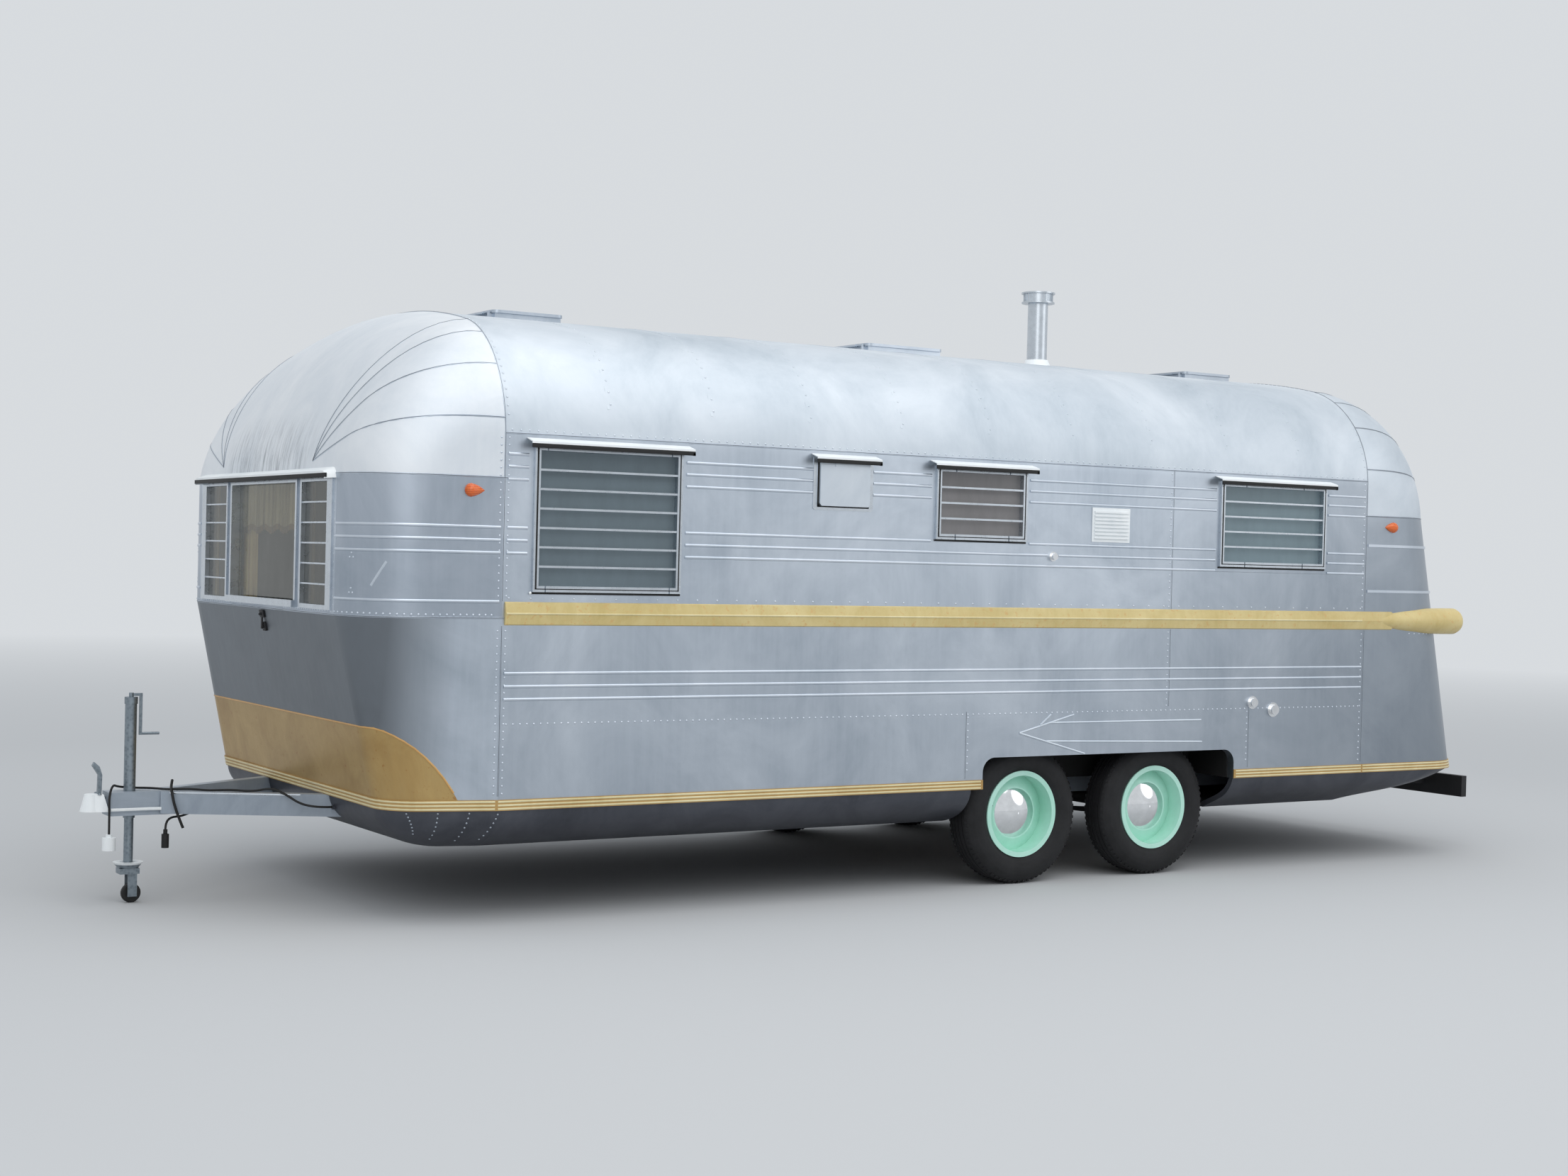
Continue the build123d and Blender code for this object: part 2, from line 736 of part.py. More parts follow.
def front_visor_section(y):
    """Sheet of the front visor, seen from the side, at a place across the body."""
    lip_x = front_face_x + front_visor_out
    fold_z = front_visor_low_z + front_visor_lip
    with BuildSketch(Plane.XZ.offset(-y)) as section:
        with BuildLine():
            Polyline(
                (front_face_x - front_visor_sheet, front_visor_top_z),
                (lip_x, fold_z + front_visor_sheet),
                (lip_x, front_visor_low_z),
                (lip_x - front_visor_sheet, front_visor_low_z),
                (lip_x - front_visor_sheet, fold_z),
                (front_face_x - front_visor_sheet, front_visor_top_z - front_visor_sheet),
                close=True,
            )
        make_face()
    return section.sketch


with BuildPart() as front_visor:
    extrude(front_visor_section(front_visor_half), amount=2 * front_visor_half, dir=(0, -1, 0))
    for sign in (-1, 1):
        curl = Axis((0, sign * front_visor_half, front_visor_low_z - front_visor_curl), (-sign, 0, 0))
        revolve(front_visor_section(sign * front_visor_half), axis=curl, revolution_arc=front_visor_turn)
    add(front_dome.part, mode=Mode.SUBTRACT)
    add(front_band.part, mode=Mode.SUBTRACT)
save(Compound(children=[*side_visors.part.solids(), *front_visor.part.solids()]), "visors")

# Gold stripe along each side, swelling at the rear into a lamp pod
stripe_low_z = 1259.0
stripe_top_z = 1357.0
stripe_proud = 15.0
stripe_bevel = 4.0
stripe_end_gap = 12.0
stripe_front_x = front_seam_x - stripe_end_gap
stripe_mid_z = (stripe_low_z + stripe_top_z) / 2
pod_front_x = rear_seam_x - 130.0
pod_lap = 80.0
pod_mid_x = -3080.0
pod_shoulder_x = -3330.0
pod_edge_x = -3405.0
pod_end_x = -3425.0
pod_front_r = 36.0
pod_mid_r = 63.0
pod_r = 72.0
pod_rim_r = 64.0
pod_y = half_width - 22.0


def stripe_section(sign, x):
    """Raised section of the gold stripe on one side, at a place along the body."""
    edge_y = half_width + stripe_proud / 2
    with BuildSketch(Plane.YZ.offset(x)) as section:
        with BuildLine():
            Polyline(
                (sign * half_width, stripe_low_z),
                (sign * edge_y, stripe_low_z + stripe_bevel),
                (sign * (half_width + stripe_proud), stripe_mid_z),
                (sign * edge_y, stripe_top_z - stripe_bevel),
                (sign * half_width, stripe_top_z),
                close=True,
            )
        make_face()
    return section.sketch


with BuildPart() as mid_stripes:
    for sign in (-1, 1):
        stripe_length = stripe_front_x - pod_front_x + pod_lap
        extrude(stripe_section(sign, pod_front_x - pod_lap), amount=stripe_length, dir=(1, 0, 0))
        with BuildSketch(Plane(origin=(0, sign * pod_y, stripe_mid_z), x_dir=(1, 0, 0), z_dir=(0, -1, 0))):
            with BuildLine():
                Line((pod_front_x, 0), (pod_front_x, pod_front_r))
                ThreePointArc((pod_front_x, pod_front_r), (pod_mid_x, pod_mid_r), (pod_shoulder_x, pod_r))
                Line((pod_shoulder_x, pod_r), (pod_edge_x, pod_r))
                Line((pod_edge_x, pod_r), (pod_end_x, pod_rim_r))
                Line((pod_end_x, pod_rim_r), (pod_end_x, 0))
                Line((pod_end_x, 0), (pod_front_x, 0))
            make_face()
        revolve(axis=Axis((0, sign * pod_y, stripe_mid_z), (1, 0, 0)))
    add(rear_outer.part, mode=Mode.SUBTRACT)
    with Locations((body_mid_x, 0, stripe_mid_z)):
        Box(body_length + 2 * stripe_end_gap, 2 * half_width, 4 * pod_r, mode=Mode.SUBTRACT)
    with Locations(((door_front_x + door_rear_x + door_strip) / 2, -half_width, stripe_mid_z)):
        door_cut = door_front_x - door_rear_x + door_strip + 2 * door_gap
        Box(door_cut, 4 * pod_r, 4 * pod_r, mode=Mode.SUBTRACT)
lens_r = 52.0
lens_rise = 24.0
lens_ball_r = (lens_r ** 2 + lens_rise ** 2) / (2 * lens_rise)
lens_half = atan2(lens_r, lens_ball_r - lens_rise) / 2
lens_mid = (
    pod_end_x - lens_rise + lens_ball_r * (1 - cos(lens_half)),
    lens_ball_r * sin(lens_half),
)
with BuildPart() as tail_lenses:
    for sign in (-1, 1):
        with BuildSketch(Plane(origin=(0, sign * pod_y, stripe_mid_z), x_dir=(1, 0, 0), z_dir=(0, -1, 0))):
            with BuildLine():
                Line((pod_end_x, 0), (pod_end_x, lens_r))
                ThreePointArc((pod_end_x, lens_r), lens_mid, (pod_end_x - lens_rise, 0))
                Line((pod_end_x - lens_rise, 0), (pod_end_x, 0))
            make_face()
        revolve(axis=Axis((0, sign * pod_y, stripe_mid_z), (1, 0, 0)))
save(tail_lenses.part, "tail_lenses")

# Lower gold stripe round the foot of the body
low_stripe_top_z = 531.0
low_stripe_proud = 5.0
low_stripe_y = half_width + low_stripe_proud / 2
with BuildPart() as lower_stripe:
    add(lower_end(1, front_at_cap, belt_z, front_at_sill, -low_stripe_proud, 0.0).part)
    add(nose_outer.part, mode=Mode.SUBTRACT)
    with BuildPart(mode=Mode.PRIVATE) as rear_skin:
        add(lower_end(-1, rear_at_cap, cap_z, rear_at_sill, -low_stripe_proud, 0.0).part)
        add(rear_outer.part, mode=Mode.SUBTRACT)
    add(rear_skin.part)
    for sign in (-1, 1):
        for start_x, end_x in ((front_seam_x, axle_bay_front_x), (axle_bay_rear_x, rear_seam_x)):
            with Locations(((start_x + end_x) / 2, sign * low_stripe_y, low_stripe_top_z)):
                Box(start_x - end_x, low_stripe_proud, 4 * (low_stripe_top_z - sill_z))
    with Locations((0, 0, (sill_z + low_stripe_top_z) / 2)):
        Box(far, far, low_stripe_top_z - sill_z, mode=Mode.INTERSECT)
save(Compound(children=[*mid_stripes.part.solids(), *lower_stripe.part.solids()]), "gold_stripes")

# Pressed half-round ribs along each side, broken at the windows: height
rib_heights = (1973.0, 1921.0, 1868.0, 1666.0, 1613.0, 1560.0, 1058.0, 1003.0, 949.0)
corner_rib_heights = (1666.0, 1613.0, 1560.0, 1357.0)
rear_rib_heights = (1700.0, 1453.0)
rib_half = 7.0
rib_proud = 5.0
rib_clear = 24.0
rib_end_gap = 15.0


def rib_section(x, sign, z):
    """Half-round section of a rib that starts on one side, at a place along the body."""
    with BuildSketch(Plane(origin=(x, sign * half_width, z), x_dir=(0, sign, 0), z_dir=(1, 0, 0))) as section:
        with BuildLine():
            Line((0, -rib_half), (0, rib_half))
            ThreePointArc((0, rib_half), (rib_proud, 0), (0, -rib_half))
        make_face()
    return section.sketch


def corner_rib(sign, z):
    """Rib round one corner of the front band."""
    start_x = front_seam_x + rib_end_gap
    corner_x = front_seam_x + front_side
    corner_mid = (
        corner_x + front_corner_r * sin(radians(45)),
        sign * (flat_half + front_corner_r * cos(radians(45))),
        z,
    )
    with BuildPart() as rib:
        with BuildLine() as path:
            Line((start_x, sign * half_width, z), (corner_x, sign * half_width, z))
            ThreePointArc((corner_x, sign * half_width, z), corner_mid, (front_face_x, sign * flat_half, z))
        sweep(rib_section(start_x, sign, z), path=path.line)
    return rib.part


def rear_rib(z):
    """Rib round the rear panel, broken at the rear window, as a raised band of the skin."""
    share = (cap_z - z) / (cap_z - sill_z)
    ends = {key: value + share * (rear_at_sill[key] - value) for key, value in rear_at_cap.items()}
    cut_width = 2 * (rear_window_half + rib_clear)
    with BuildPart() as rib:
        extrude(level_outline(-1, z + rib_half, ends, -rib_proud, near=rib_end_gap), amount=2 * rib_half)
        add(rear_outer.part, mode=Mode.SUBTRACT)
        with Locations(rear_window_place):
            Box(4 * wall, cut_width, rear_window_height + 2 * rib_clear, mode=Mode.SUBTRACT)
    return rib.part


with BuildPart() as side_ribs:
    for sign in (-1, 1):
        for z in rib_heights:
            rib_x = rear_seam_x + rib_end_gap
            extrude(rib_section(rib_x, sign, z), amount=body_length - 2 * rib_end_gap, dir=(1, 0, 0))
        gaps = [(window[0], window[1], window[2], window[3]) for window in side_windows]
        gaps.append(
            (hatch_front_x, hatch_rear_x, hatch_low_z, hatch_top_z)
            if sign > 0
            else (door_front_x + door_strip, door_rear_x, door_low_z, door_top_z)
        )
        for front_x, rear_x, low_z, top_z in gaps:
            gap_width = front_x - rear_x + 2 * rib_clear
            gap_height = top_z - low_z + 2 * rib_clear
            with Locations(((front_x + rear_x) / 2, sign * (half_width + rib_proud), (low_z + top_z) / 2)):
                Box(gap_width, 4 * rib_proud, gap_height, mode=Mode.SUBTRACT)
        for z in corner_rib_heights:
            add(corner_rib(sign, z))
    with Locations(Location((disc_x, half_width, disc_z), (90, 0, 0))):
        Cylinder(disc_r + 2 * rib_proud, 4 * rib_proud, mode=Mode.SUBTRACT)
    for z in rear_rib_heights:
        add(rear_rib(z))
save(side_ribs.part, "side_ribs")

# Chassis: rails, cross members, slanting beams and the box behind the coupler
rail_rear_x = -2900.0
rail_mid_z = (rail_low_z + rail_top_z) / 2
rail_height = rail_top_z - rail_low_z
cross_x = (-40.0, -874.0, -1841.0)
cross_width = 50.0
cross_height = 76.0
hanger_length = 36.0
hanger_drop = 61.0
hanger_width = 16.0
weld_lap = 1.0
box_mid_x = (box_rear_x + box_front_x) / 2
box_length = box_front_x - box_rear_x
box_lip_low_z = 402.0
box_lip_height = 16.0
box_lip_out = 4.0
with BuildPart() as chassis:
    for sign in (-1, 1):
        with Locations(((drawbar_joint_x + rail_rear_x) / 2, sign * rail_y, rail_mid_z)):
            Box(drawbar_joint_x - rail_rear_x, rail_width, rail_height)
        add(beam(sign, rail_width, rail_low_z, rail_top_z))
        for x in hanger_x:
            with Locations((x, sign * rail_y, rail_low_z + (weld_lap - hanger_drop) / 2)):
                Box(hanger_length, hanger_width, hanger_drop + weld_lap)
    for x in cross_x:
        with Locations((x, 0, rail_mid_z)):
            Box(cross_width, 2 * rail_y, cross_height)
    with Locations((box_mid_x, 0, (box_low_z + rail_top_z) / 2)):
        Box(box_length, 2 * box_half_width, rail_top_z - box_low_z)
    with Locations((box_mid_x, 0, box_lip_low_z + box_lip_height / 2)):
        Box(box_length, 2 * (box_half_width + box_lip_out), box_lip_height)
    with Locations((jack_x, 0, rail_mid_z)):
        Cylinder(jack_tube_r, 4 * rail_height, mode=Mode.SUBTRACT)
save(chassis.part, "chassis")

# Leaf springs under the axles, two a side, from hanger to hanger
leaf_width = 50.0
eye_thick = 10.0
with BuildPart() as springs:
    for sign in (-1, 1):
        for front_x, rear_x, mid_x in (
            (hanger_x[0], hanger_x[1], axle_x[0]),
            (hanger_x[1], hanger_x[2], axle_x[1]),
        ):
            front_eye = front_x - hanger_length / 2 - fit_gap
            rear_eye = rear_x + hanger_length / 2 + fit_gap
            eye_top_z = spring_eye_z + eye_thick
            leaf_top_z = spring_low_z + leaf_thick
            with BuildSketch(Plane.XZ.offset(-sign * rail_y)):
                with BuildLine():
                    ThreePointArc((front_eye, spring_eye_z), (mid_x, spring_low_z), (rear_eye, spring_eye_z))
                    Line((rear_eye, spring_eye_z), (rear_eye, eye_top_z))
                    ThreePointArc((rear_eye, eye_top_z), (mid_x, leaf_top_z), (front_eye, eye_top_z))
                    Line((front_eye, eye_top_z), (front_eye, spring_eye_z))
                make_face()
            extrude(amount=leaf_width / 2, both=True)
save(springs.part, "springs")

# Axles with their spring seats and brake backing plates
backing_thick = 8.0
backing_over = 6.0
seat_length = 70.0
seat_width = 56.0
seat_low_z = spring_low_z + leaf_thick + fit_gap + 0.5


def axle(x):
    """Axle tube with spring seats, brake plates and the two wheel spindles."""
    with BuildPart() as shaft:
        with Locations(Location((x, 0, tyre_r), (90, 0, 0))):
            Cylinder(axle_tube_r, 2 * backing_y)
            Cylinder(spindle_r, 2 * (wheel_y + spindle_out))
        for sign in (-1, 1):
            with Locations(Location((x, sign * (backing_y - backing_thick / 2), tyre_r), (90, 0, 0))):
                Cylinder(brake_r + backing_over, backing_thick)
            with Locations((x, sign * rail_y, (seat_low_z + tyre_r) / 2)):
                Box(seat_length, seat_width, tyre_r - seat_low_z)
    return shaft.part


save(Compound(children=[solid for x in axle_x for solid in axle(x).solids()]), "axles")

# Wheels: tyre section, then rim section as radii and offsets outwards from the wheel's middle
tread_half = 58.0
tread_drop = 6.0
bulge_r = 268.0
barrel_thick = 6.0
hub_r = 48.0
hub_in = -60.0
web_r = 40.0
drum_thick = 8.0
drum_in = -72.0
drum_web_in = -16.0
drum_out = -6.0
disc_bend_r = 128.0
disc_edge = -16.0
cap_bore_clear = 2.0
cap_bore_deep = 10.0


def tyre(x, sign):
    """Round-shouldered tyre seated between the rim's flanges."""
    bead = rim_half_width - flange_thick - fit_gap
    tread_r = tyre_r - tread_drop
    with BuildPart() as ring:
        with BuildSketch(Plane(origin=(x, sign * wheel_y, tyre_r), x_dir=(0, 1, 0), z_dir=(1, 0, 0))):
            with BuildLine():
                Line((-bead, rim_seat_r), (bead, rim_seat_r))
                Line((bead, rim_seat_r), (bead, rim_flange_r))
                ThreePointArc((bead, rim_flange_r), (tyre_half_width, bulge_r), (tread_half, tread_r))
                ThreePointArc((tread_half, tread_r), (0, tyre_r), (-tread_half, tread_r))
                ThreePointArc((-tread_half, tread_r), (-tyre_half_width, bulge_r), (-bead, rim_flange_r))
                Line((-bead, rim_flange_r), (-bead, rim_seat_r))
            make_face()
        revolve(axis=Axis((x, sign * wheel_y, tyre_r), (0, 1, 0)))
    return ring.part


def ring_outline(low_r, high_r, inner, outer):
    """Rectangle of a ring's section, as radii and offsets."""
    return [(low_r, inner), (high_r, inner), (high_r, outer), (low_r, outer)]


def rim(x, sign):
    """Pressed rim with its dished disc, hub and brake drum, bored for the spindle."""
    edge = rim_half_width
    barrel_r = rim_seat_r - barrel_thick
    disc_r_out = barrel_r + barrel_thick / 3
    disc_back = disc_out - disc_thick
    outlines = [
        ring_outline(spindle_r + running_gap, hub_r, hub_in, hub_out),
        ring_outline(web_r, brake_r, drum_web_in, drum_out),
        ring_outline(brake_r - drum_thick, brake_r, drum_in, drum_out),
        [
            (web_r, disc_back),
            (disc_bend_r, disc_back),
            (disc_r_out, disc_edge - disc_thick),
            (disc_r_out, disc_edge),
            (disc_bend_r, disc_out),
            (web_r, disc_out),
        ],
        ring_outline(barrel_r, rim_seat_r, -edge, edge),
        ring_outline(barrel_r, rim_flange_r, -edge, -edge + flange_thick),
        ring_outline(barrel_r, rim_flange_r, edge - flange_thick, edge),
    ]
    with BuildPart() as wheel:
        with BuildSketch(Plane(origin=(x, sign * wheel_y, tyre_r), x_dir=(0, sign, 0), z_dir=(sign, 0, 0))):
            for outline in outlines:
                with BuildLine():
                    Polyline(*[(offset, radius) for radius, offset in outline], close=True)
                make_face()
        revolve(axis=Axis((x, sign * wheel_y, tyre_r), (0, 1, 0)))
    return wheel.part


def hubcap(x, sign):
    """Domed cap over the hub."""
    face = disc_out + fit_gap
    ball = (hubcap_r ** 2 + hubcap_rise ** 2) / (2 * hubcap_rise)
    half = atan2(hubcap_r, ball - hubcap_rise) / 2
    top = face + hubcap_rise
    mid = (top - ball * (1 - cos(half)), ball * sin(half))
    with BuildPart() as cap:
        with BuildSketch(Plane(origin=(x, sign * wheel_y, tyre_r), x_dir=(0, sign, 0), z_dir=(sign, 0, 0))):
            with BuildLine():
                Line((face, 0), (face, hubcap_r))
                ThreePointArc((face, hubcap_r), mid, (top, 0))
                Line((top, 0), (face, 0))
            make_face()
        revolve(axis=Axis((x, sign * wheel_y, tyre_r), (0, 1, 0)))
        with Locations(Location((x, sign * (wheel_y + face), tyre_r), (90, 0, 0))):
            Cylinder(hub_r + cap_bore_clear, 2 * cap_bore_deep, mode=Mode.SUBTRACT)
    return cap.part


corners = (("front_left", 0, 1), ("front_right", 0, -1), ("rear_left", 1, 1), ("rear_right", 1, -1))
for corner, row, sign in corners:
    save(tyre(axle_x[row], sign), f"tyre_{corner}")
    save(rim(axle_x[row], sign), f"rim_{corner}")
    save(hubcap(axle_x[row], sign), f"hubcap_{corner}")

# Bumper: two arms under the rear pan and a bar
bumper_rear_x = -3800.0
bumper_z = 350.0
bumper_half = 1000.0
bumper_thick = 40.0
bumper_height = 120.0
arm_width = 40.0
arm_end_x = bumper_rear_x + 30.0
arm_end_low_z = 340.0
arm_end_top_z = 410.0
with BuildPart() as bumper:
    for sign in (-1, 1):
        with BuildSketch(Plane.XZ.offset(-sign * rail_y)):
            with BuildLine():
                Polyline(
                    (rail_rear_x - fit_gap, rail_top_z),
                    (arm_end_x, arm_end_top_z),
                    (arm_end_x, arm_end_low_z),
                    (rail_rear_x - fit_gap, rail_low_z),
                    close=True,
                )
            make_face()
        extrude(amount=arm_width / 2, both=True)
    with Locations((bumper_rear_x + bumper_thick / 2, 0, bumper_z)):
        Box(bumper_thick, 2 * bumper_half, bumper_height)
save(bumper.part, "bumper")

# Coupler over the ball, with its handle
coupler_rear_x = box_front_x + fit_gap
coupler_neck_x = 3745.0
coupler_tip_x = 3800.0
coupler_rear_half = 58.0
coupler_neck_half = 46.0
coupler_low_z = 404.0
coupler_height = 74.0
coupler_taper = 14.0
ball_x = 3752.0
socket_r = 25.1
socket_deep = 10.0
handle_width = 22.0
handle_outline = (
    (3712.0, 470.0),
    (3728.0, 470.0),
    (3726.0, 560.0),
    (3752.0, 600.0),
    (3744.0, 616.0),
    (3722.0, 596.0),
    (3710.0, 560.0),
)
with BuildPart() as coupler:
    with BuildSketch(Plane.XY.offset(coupler_low_z)):
        with BuildLine():
            Line((coupler_rear_x, coupler_rear_half), (coupler_rear_x, -coupler_rear_half))
            Line((coupler_rear_x, -coupler_rear_half), (coupler_neck_x, -coupler_neck_half))
            ThreePointArc(
                (coupler_neck_x, -coupler_neck_half), (coupler_tip_x, 0), (coupler_neck_x, coupler_neck_half)
            )
            Line((coupler_neck_x, coupler_neck_half), (coupler_rear_x, coupler_rear_half))
        make_face()
    extrude(amount=coupler_height, taper=coupler_taper)
    with Locations((ball_x, 0, coupler_low_z)):
        Sphere(socket_r, mode=Mode.SUBTRACT)
        Cylinder(socket_r, 2 * socket_deep, mode=Mode.SUBTRACT)
    with BuildSketch(Plane.XZ):
        with BuildLine():
            Polyline(*handle_outline, close=True)
        make_face()
    extrude(amount=handle_width / 2, both=True)
save(coupler.part, "coupler")

# Jack: outer tube in the box with its crank, sliding leg, swivelling fork and its wheel
jack_tube_mid_z = (jack_tube_low_z + jack_tube_top_z) / 2
jack_tube_length = jack_tube_top_z - jack_tube_low_z
jack_cap_thick = 20.0
collar_over = 3.0
collar_height = 30.0
crank_pin_r = 10.0
crank_pin_height = 20.0
crank_pin_z = jack_tube_top_z + 23.0
crank_bar = 12.0
crank_reach = 42.0
crank_top_z = jack_tube_top_z + 31.0
crank_low_z = jack_tube_top_z - 151.0
crank_handle_r = 6.0
crank_handle_length = 88.0
crank_handle_z = crank_low_z + crank_handle_r
with BuildPart() as jack_tube:
    with Locations((jack_x, 0, jack_tube_mid_z)):
        Cylinder(jack_tube_r, jack_tube_length)
    with Locations((jack_x, 0, jack_tube_top_z)):
        Cylinder(jack_tube_r + collar_over, collar_height)
    with Locations((jack_x, 0, jack_tube_mid_z - jack_cap_thick)):
        Cylinder(jack_leg_r + running_gap, jack_tube_length, mode=Mode.SUBTRACT)
    with Locations((jack_x, 0, crank_pin_z)):
        Cylinder(crank_pin_r, crank_pin_height)
    with Locations((jack_x - crank_reach / 2, 0, crank_top_z - crank_bar / 2)):
        Box(crank_reach + crank_bar, crank_bar, crank_bar)
    with Locations((jack_x - crank_reach, 0, (crank_top_z + crank_low_z) / 2)):
        Box(crank_bar, crank_bar, crank_top_z - crank_low_z)
    handle_x = jack_x - crank_reach + crank_bar / 2 - crank_handle_length / 2
    with Locations(Location((handle_x, 0, crank_handle_z), (0, 90, 0))):
        Cylinder(crank_handle_r, crank_handle_length)
save(jack_tube.part, "jack_tube")

leg_top_z = 640.0
foot_low_r = 44.0
foot_top_r = 64.0
foot_height = 26.0
swivel_r = 8.0
swivel_height = 24.0
swivel_deep = 43.0
foot_low_z = jack_leg_low_z - foot_height / 2
with BuildPart() as jack_leg:
    with Locations((jack_x, 0, (jack_leg_low_z + leg_top_z) / 2)):
        Cylinder(jack_leg_r, leg_top_z - jack_leg_low_z)
    with Locations((jack_x, 0, jack_leg_low_z)):
        Cone(foot_low_r, foot_top_r, foot_height)
    with Locations((jack_x, 0, foot_low_z)):
        Cylinder(swivel_r + running_gap, 2 * swivel_deep, mode=Mode.SUBTRACT)
save(jack_leg.part, "jack_leg")

fork_top_z = foot_low_z - 0.5
fork_length = 84.0
fork_width = 70.0
fork_thick = 24.0
jack_trail = 14.0
cheek_length = 40.0
cheek_thick = 5.0
cheek_y = 24.0
cheek_top_z = fork_top_z - 6.0
cheek_low_z = jack_wheel_r - 14.0
jack_axle_r = 6.0
jack_axle_length = 52.0
jack_tyre_round = 7.0
with BuildPart() as jack_fork:
    with Locations((jack_x, 0, fork_top_z - fork_thick / 2)):
        Box(fork_length, fork_width, fork_thick)
    for sign in (-1, 1):
        with Locations((jack_x - jack_trail, sign * cheek_y, (cheek_top_z + cheek_low_z) / 2)):
            Box(cheek_length, cheek_thick, cheek_top_z - cheek_low_z)
    with Locations((jack_x, 0, fork_top_z + swivel_height / 2 - weld_lap)):
        Cylinder(swivel_r, swivel_height)
    with Locations(Location((jack_x - jack_trail, 0, jack_wheel_r), (90, 0, 0))):
        Cylinder(jack_axle_r, jack_axle_length)
save(jack_fork.part, "jack_fork")
with BuildPart() as jack_wheel:
    with Locations(Location((jack_x - jack_trail, 0, jack_wheel_r), (90, 0, 0))):
        Cylinder(jack_wheel_r, jack_wheel_width)
        Cylinder(jack_axle_r + running_gap, 2 * jack_wheel_width, mode=Mode.SUBTRACT)
    fillet(jack_wheel.edges().filter_by(GeomType.CIRCLE).group_by(SortBy.RADIUS)[-1], jack_tyre_round)
save(jack_wheel.part, "jack_wheel")

# Left hatch, hinged along its top edge under its visor
hatch_hinge_y = half_width + hatch_proud + 6.0
hatch_hinge_z = hatch_top_z - 8.0
hatch_mid_x = (hatch_front_x + hatch_rear_x) / 2
hatch_mid_z = (hatch_low_z + hatch_top_z) / 2
hatch_width = hatch_front_x - hatch_rear_x
hatch_height = hatch_top_z - hatch_low_z
hatch_thick = 44.0
hatch_round = 14.0
hatch_hinge_r = 5.0
hatch_pin_r = 2.5
hatch_knuckle = 120.0
hatch_leaf_height = 22.0
hatch_leaf_thick = 4.0
with BuildPart() as hatch:
    with Locations((hatch_mid_x, half_width + hatch_proud - hatch_thick / 2, hatch_mid_z - 1.0)):
        Box(hatch_width - 2 * door_gap, hatch_thick, hatch_height - 2 * door_gap - 2.0)
    fillet(hatch.edges().filter_by(Axis.Y), hatch_round)
    with Locations(Location((hatch_mid_x, hatch_hinge_y, hatch_hinge_z), (0, 90, 0))):
        Cylinder(hatch_hinge_r, hatch_knuckle)
        Cylinder(hatch_pin_r + running_gap, 2 * hatch_knuckle, mode=Mode.SUBTRACT)
    with Locations((hatch_mid_x, half_width + hatch_proud + 1.0, hatch_hinge_z - 12.0)):
        Box(hatch_knuckle - hatch_leaf_thick, hatch_leaf_thick, hatch_leaf_height)
save(hatch.part, "hatch")

surround_wide = 44.0
surround_tall = 26.0
surround_round = 12.0
surround_thick = 3.0
bracket_width = 12.0
bracket_x = hatch_knuckle / 2 + bracket_width / 2 + 1.0
arm_reach = 28.0
arm_thick = 6.0
with BuildPart() as hatch_frame:
    with BuildSketch(Plane.XZ.offset(-half_width)):
        with Locations((hatch_mid_x, hatch_mid_z)):
            RectangleRounded(hatch_width + surround_wide, hatch_height + surround_tall, surround_round)
            Rectangle(hatch_width, hatch_height, mode=Mode.SUBTRACT)
    extrude(amount=-surround_thick)
    for sign in (-1, 1):
        x = hatch_mid_x + sign * bracket_x
        with Locations(Location((x, hatch_hinge_y, hatch_hinge_z), (0, 90, 0))):
            Cylinder(hatch_hinge_r, bracket_width)
        with Locations((x, half_width + arm_reach / 2, hatch_top_z + arm_thick / 2 + 1.0)):
            Box(bracket_width, arm_reach, arm_thick)
        with Locations((x, hatch_hinge_y, hatch_hinge_z + 4.5)):
            Box(bracket_width, arm_thick, 9.0)
    with Locations(Location((hatch_mid_x, hatch_hinge_y, hatch_hinge_z), (0, 90, 0))):
        Cylinder(hatch_pin_r, 2 * bracket_x + arm_thick)

# Entrance door on the right side, hinged at its front edge
door_hinge_x = door_front_x - door_gap / 2
door_hinge_y = -(half_width + 8.0)
door_hinges_z = (700.0, 1160.0, 1840.0)
door_mid_x = (door_front_x + door_rear_x) / 2
door_mid_z = (door_low_z + door_top_z) / 2
door_width = door_front_x - door_rear_x - 2 * door_gap
door_height = door_top_z - door_low_z - 2 * door_gap
door_glass_low_z = 1440.0
door_glass_top_z = 1840.0
door_glass_mid_z = (door_glass_low_z + door_glass_top_z) / 2
door_glass_height = door_glass_top_z - door_glass_low_z
door_glass_width = 380.0
door_glass_in = 10.0
door_frame_over = 24.0
door_stripe_short = 50.0
knuckle = 40.0
end_knuckle = 20.0
knuckle_gap = 1.0
leaf_length = 34.0
leaf_thin = 3.0
leaf_middle = 22.0
end_knuckle_z = knuckle / 2 + knuckle_gap + end_knuckle / 2
with BuildPart() as door:
    with Locations((door_mid_x, -(half_width - wall / 2), door_mid_z)):
        Box(door_width, wall, door_height)
    with Locations((door_mid_x, -half_width, door_glass_mid_z)):
        Box(door_glass_width + door_frame_over, 2 * frame_proud, door_glass_height + door_frame_over)
        Box(
            door_glass_width - 2 * window_frame,
            4 * wall,
            door_glass_height - 2 * window_frame,
            mode=Mode.SUBTRACT,
        )
    for z in door_hinges_z:
        with Locations((door_hinge_x, door_hinge_y, z)):
            Cylinder(hinge_r, knuckle)
            Cylinder(hinge_pin_r + running_gap, 1.5 * knuckle, mode=Mode.SUBTRACT)
        with Locations((door_hinge_x - leaf_middle, -(half_width + leaf_thin / 2), z)):
            Box(leaf_length, leaf_thin, knuckle)
save(door.part, "door")
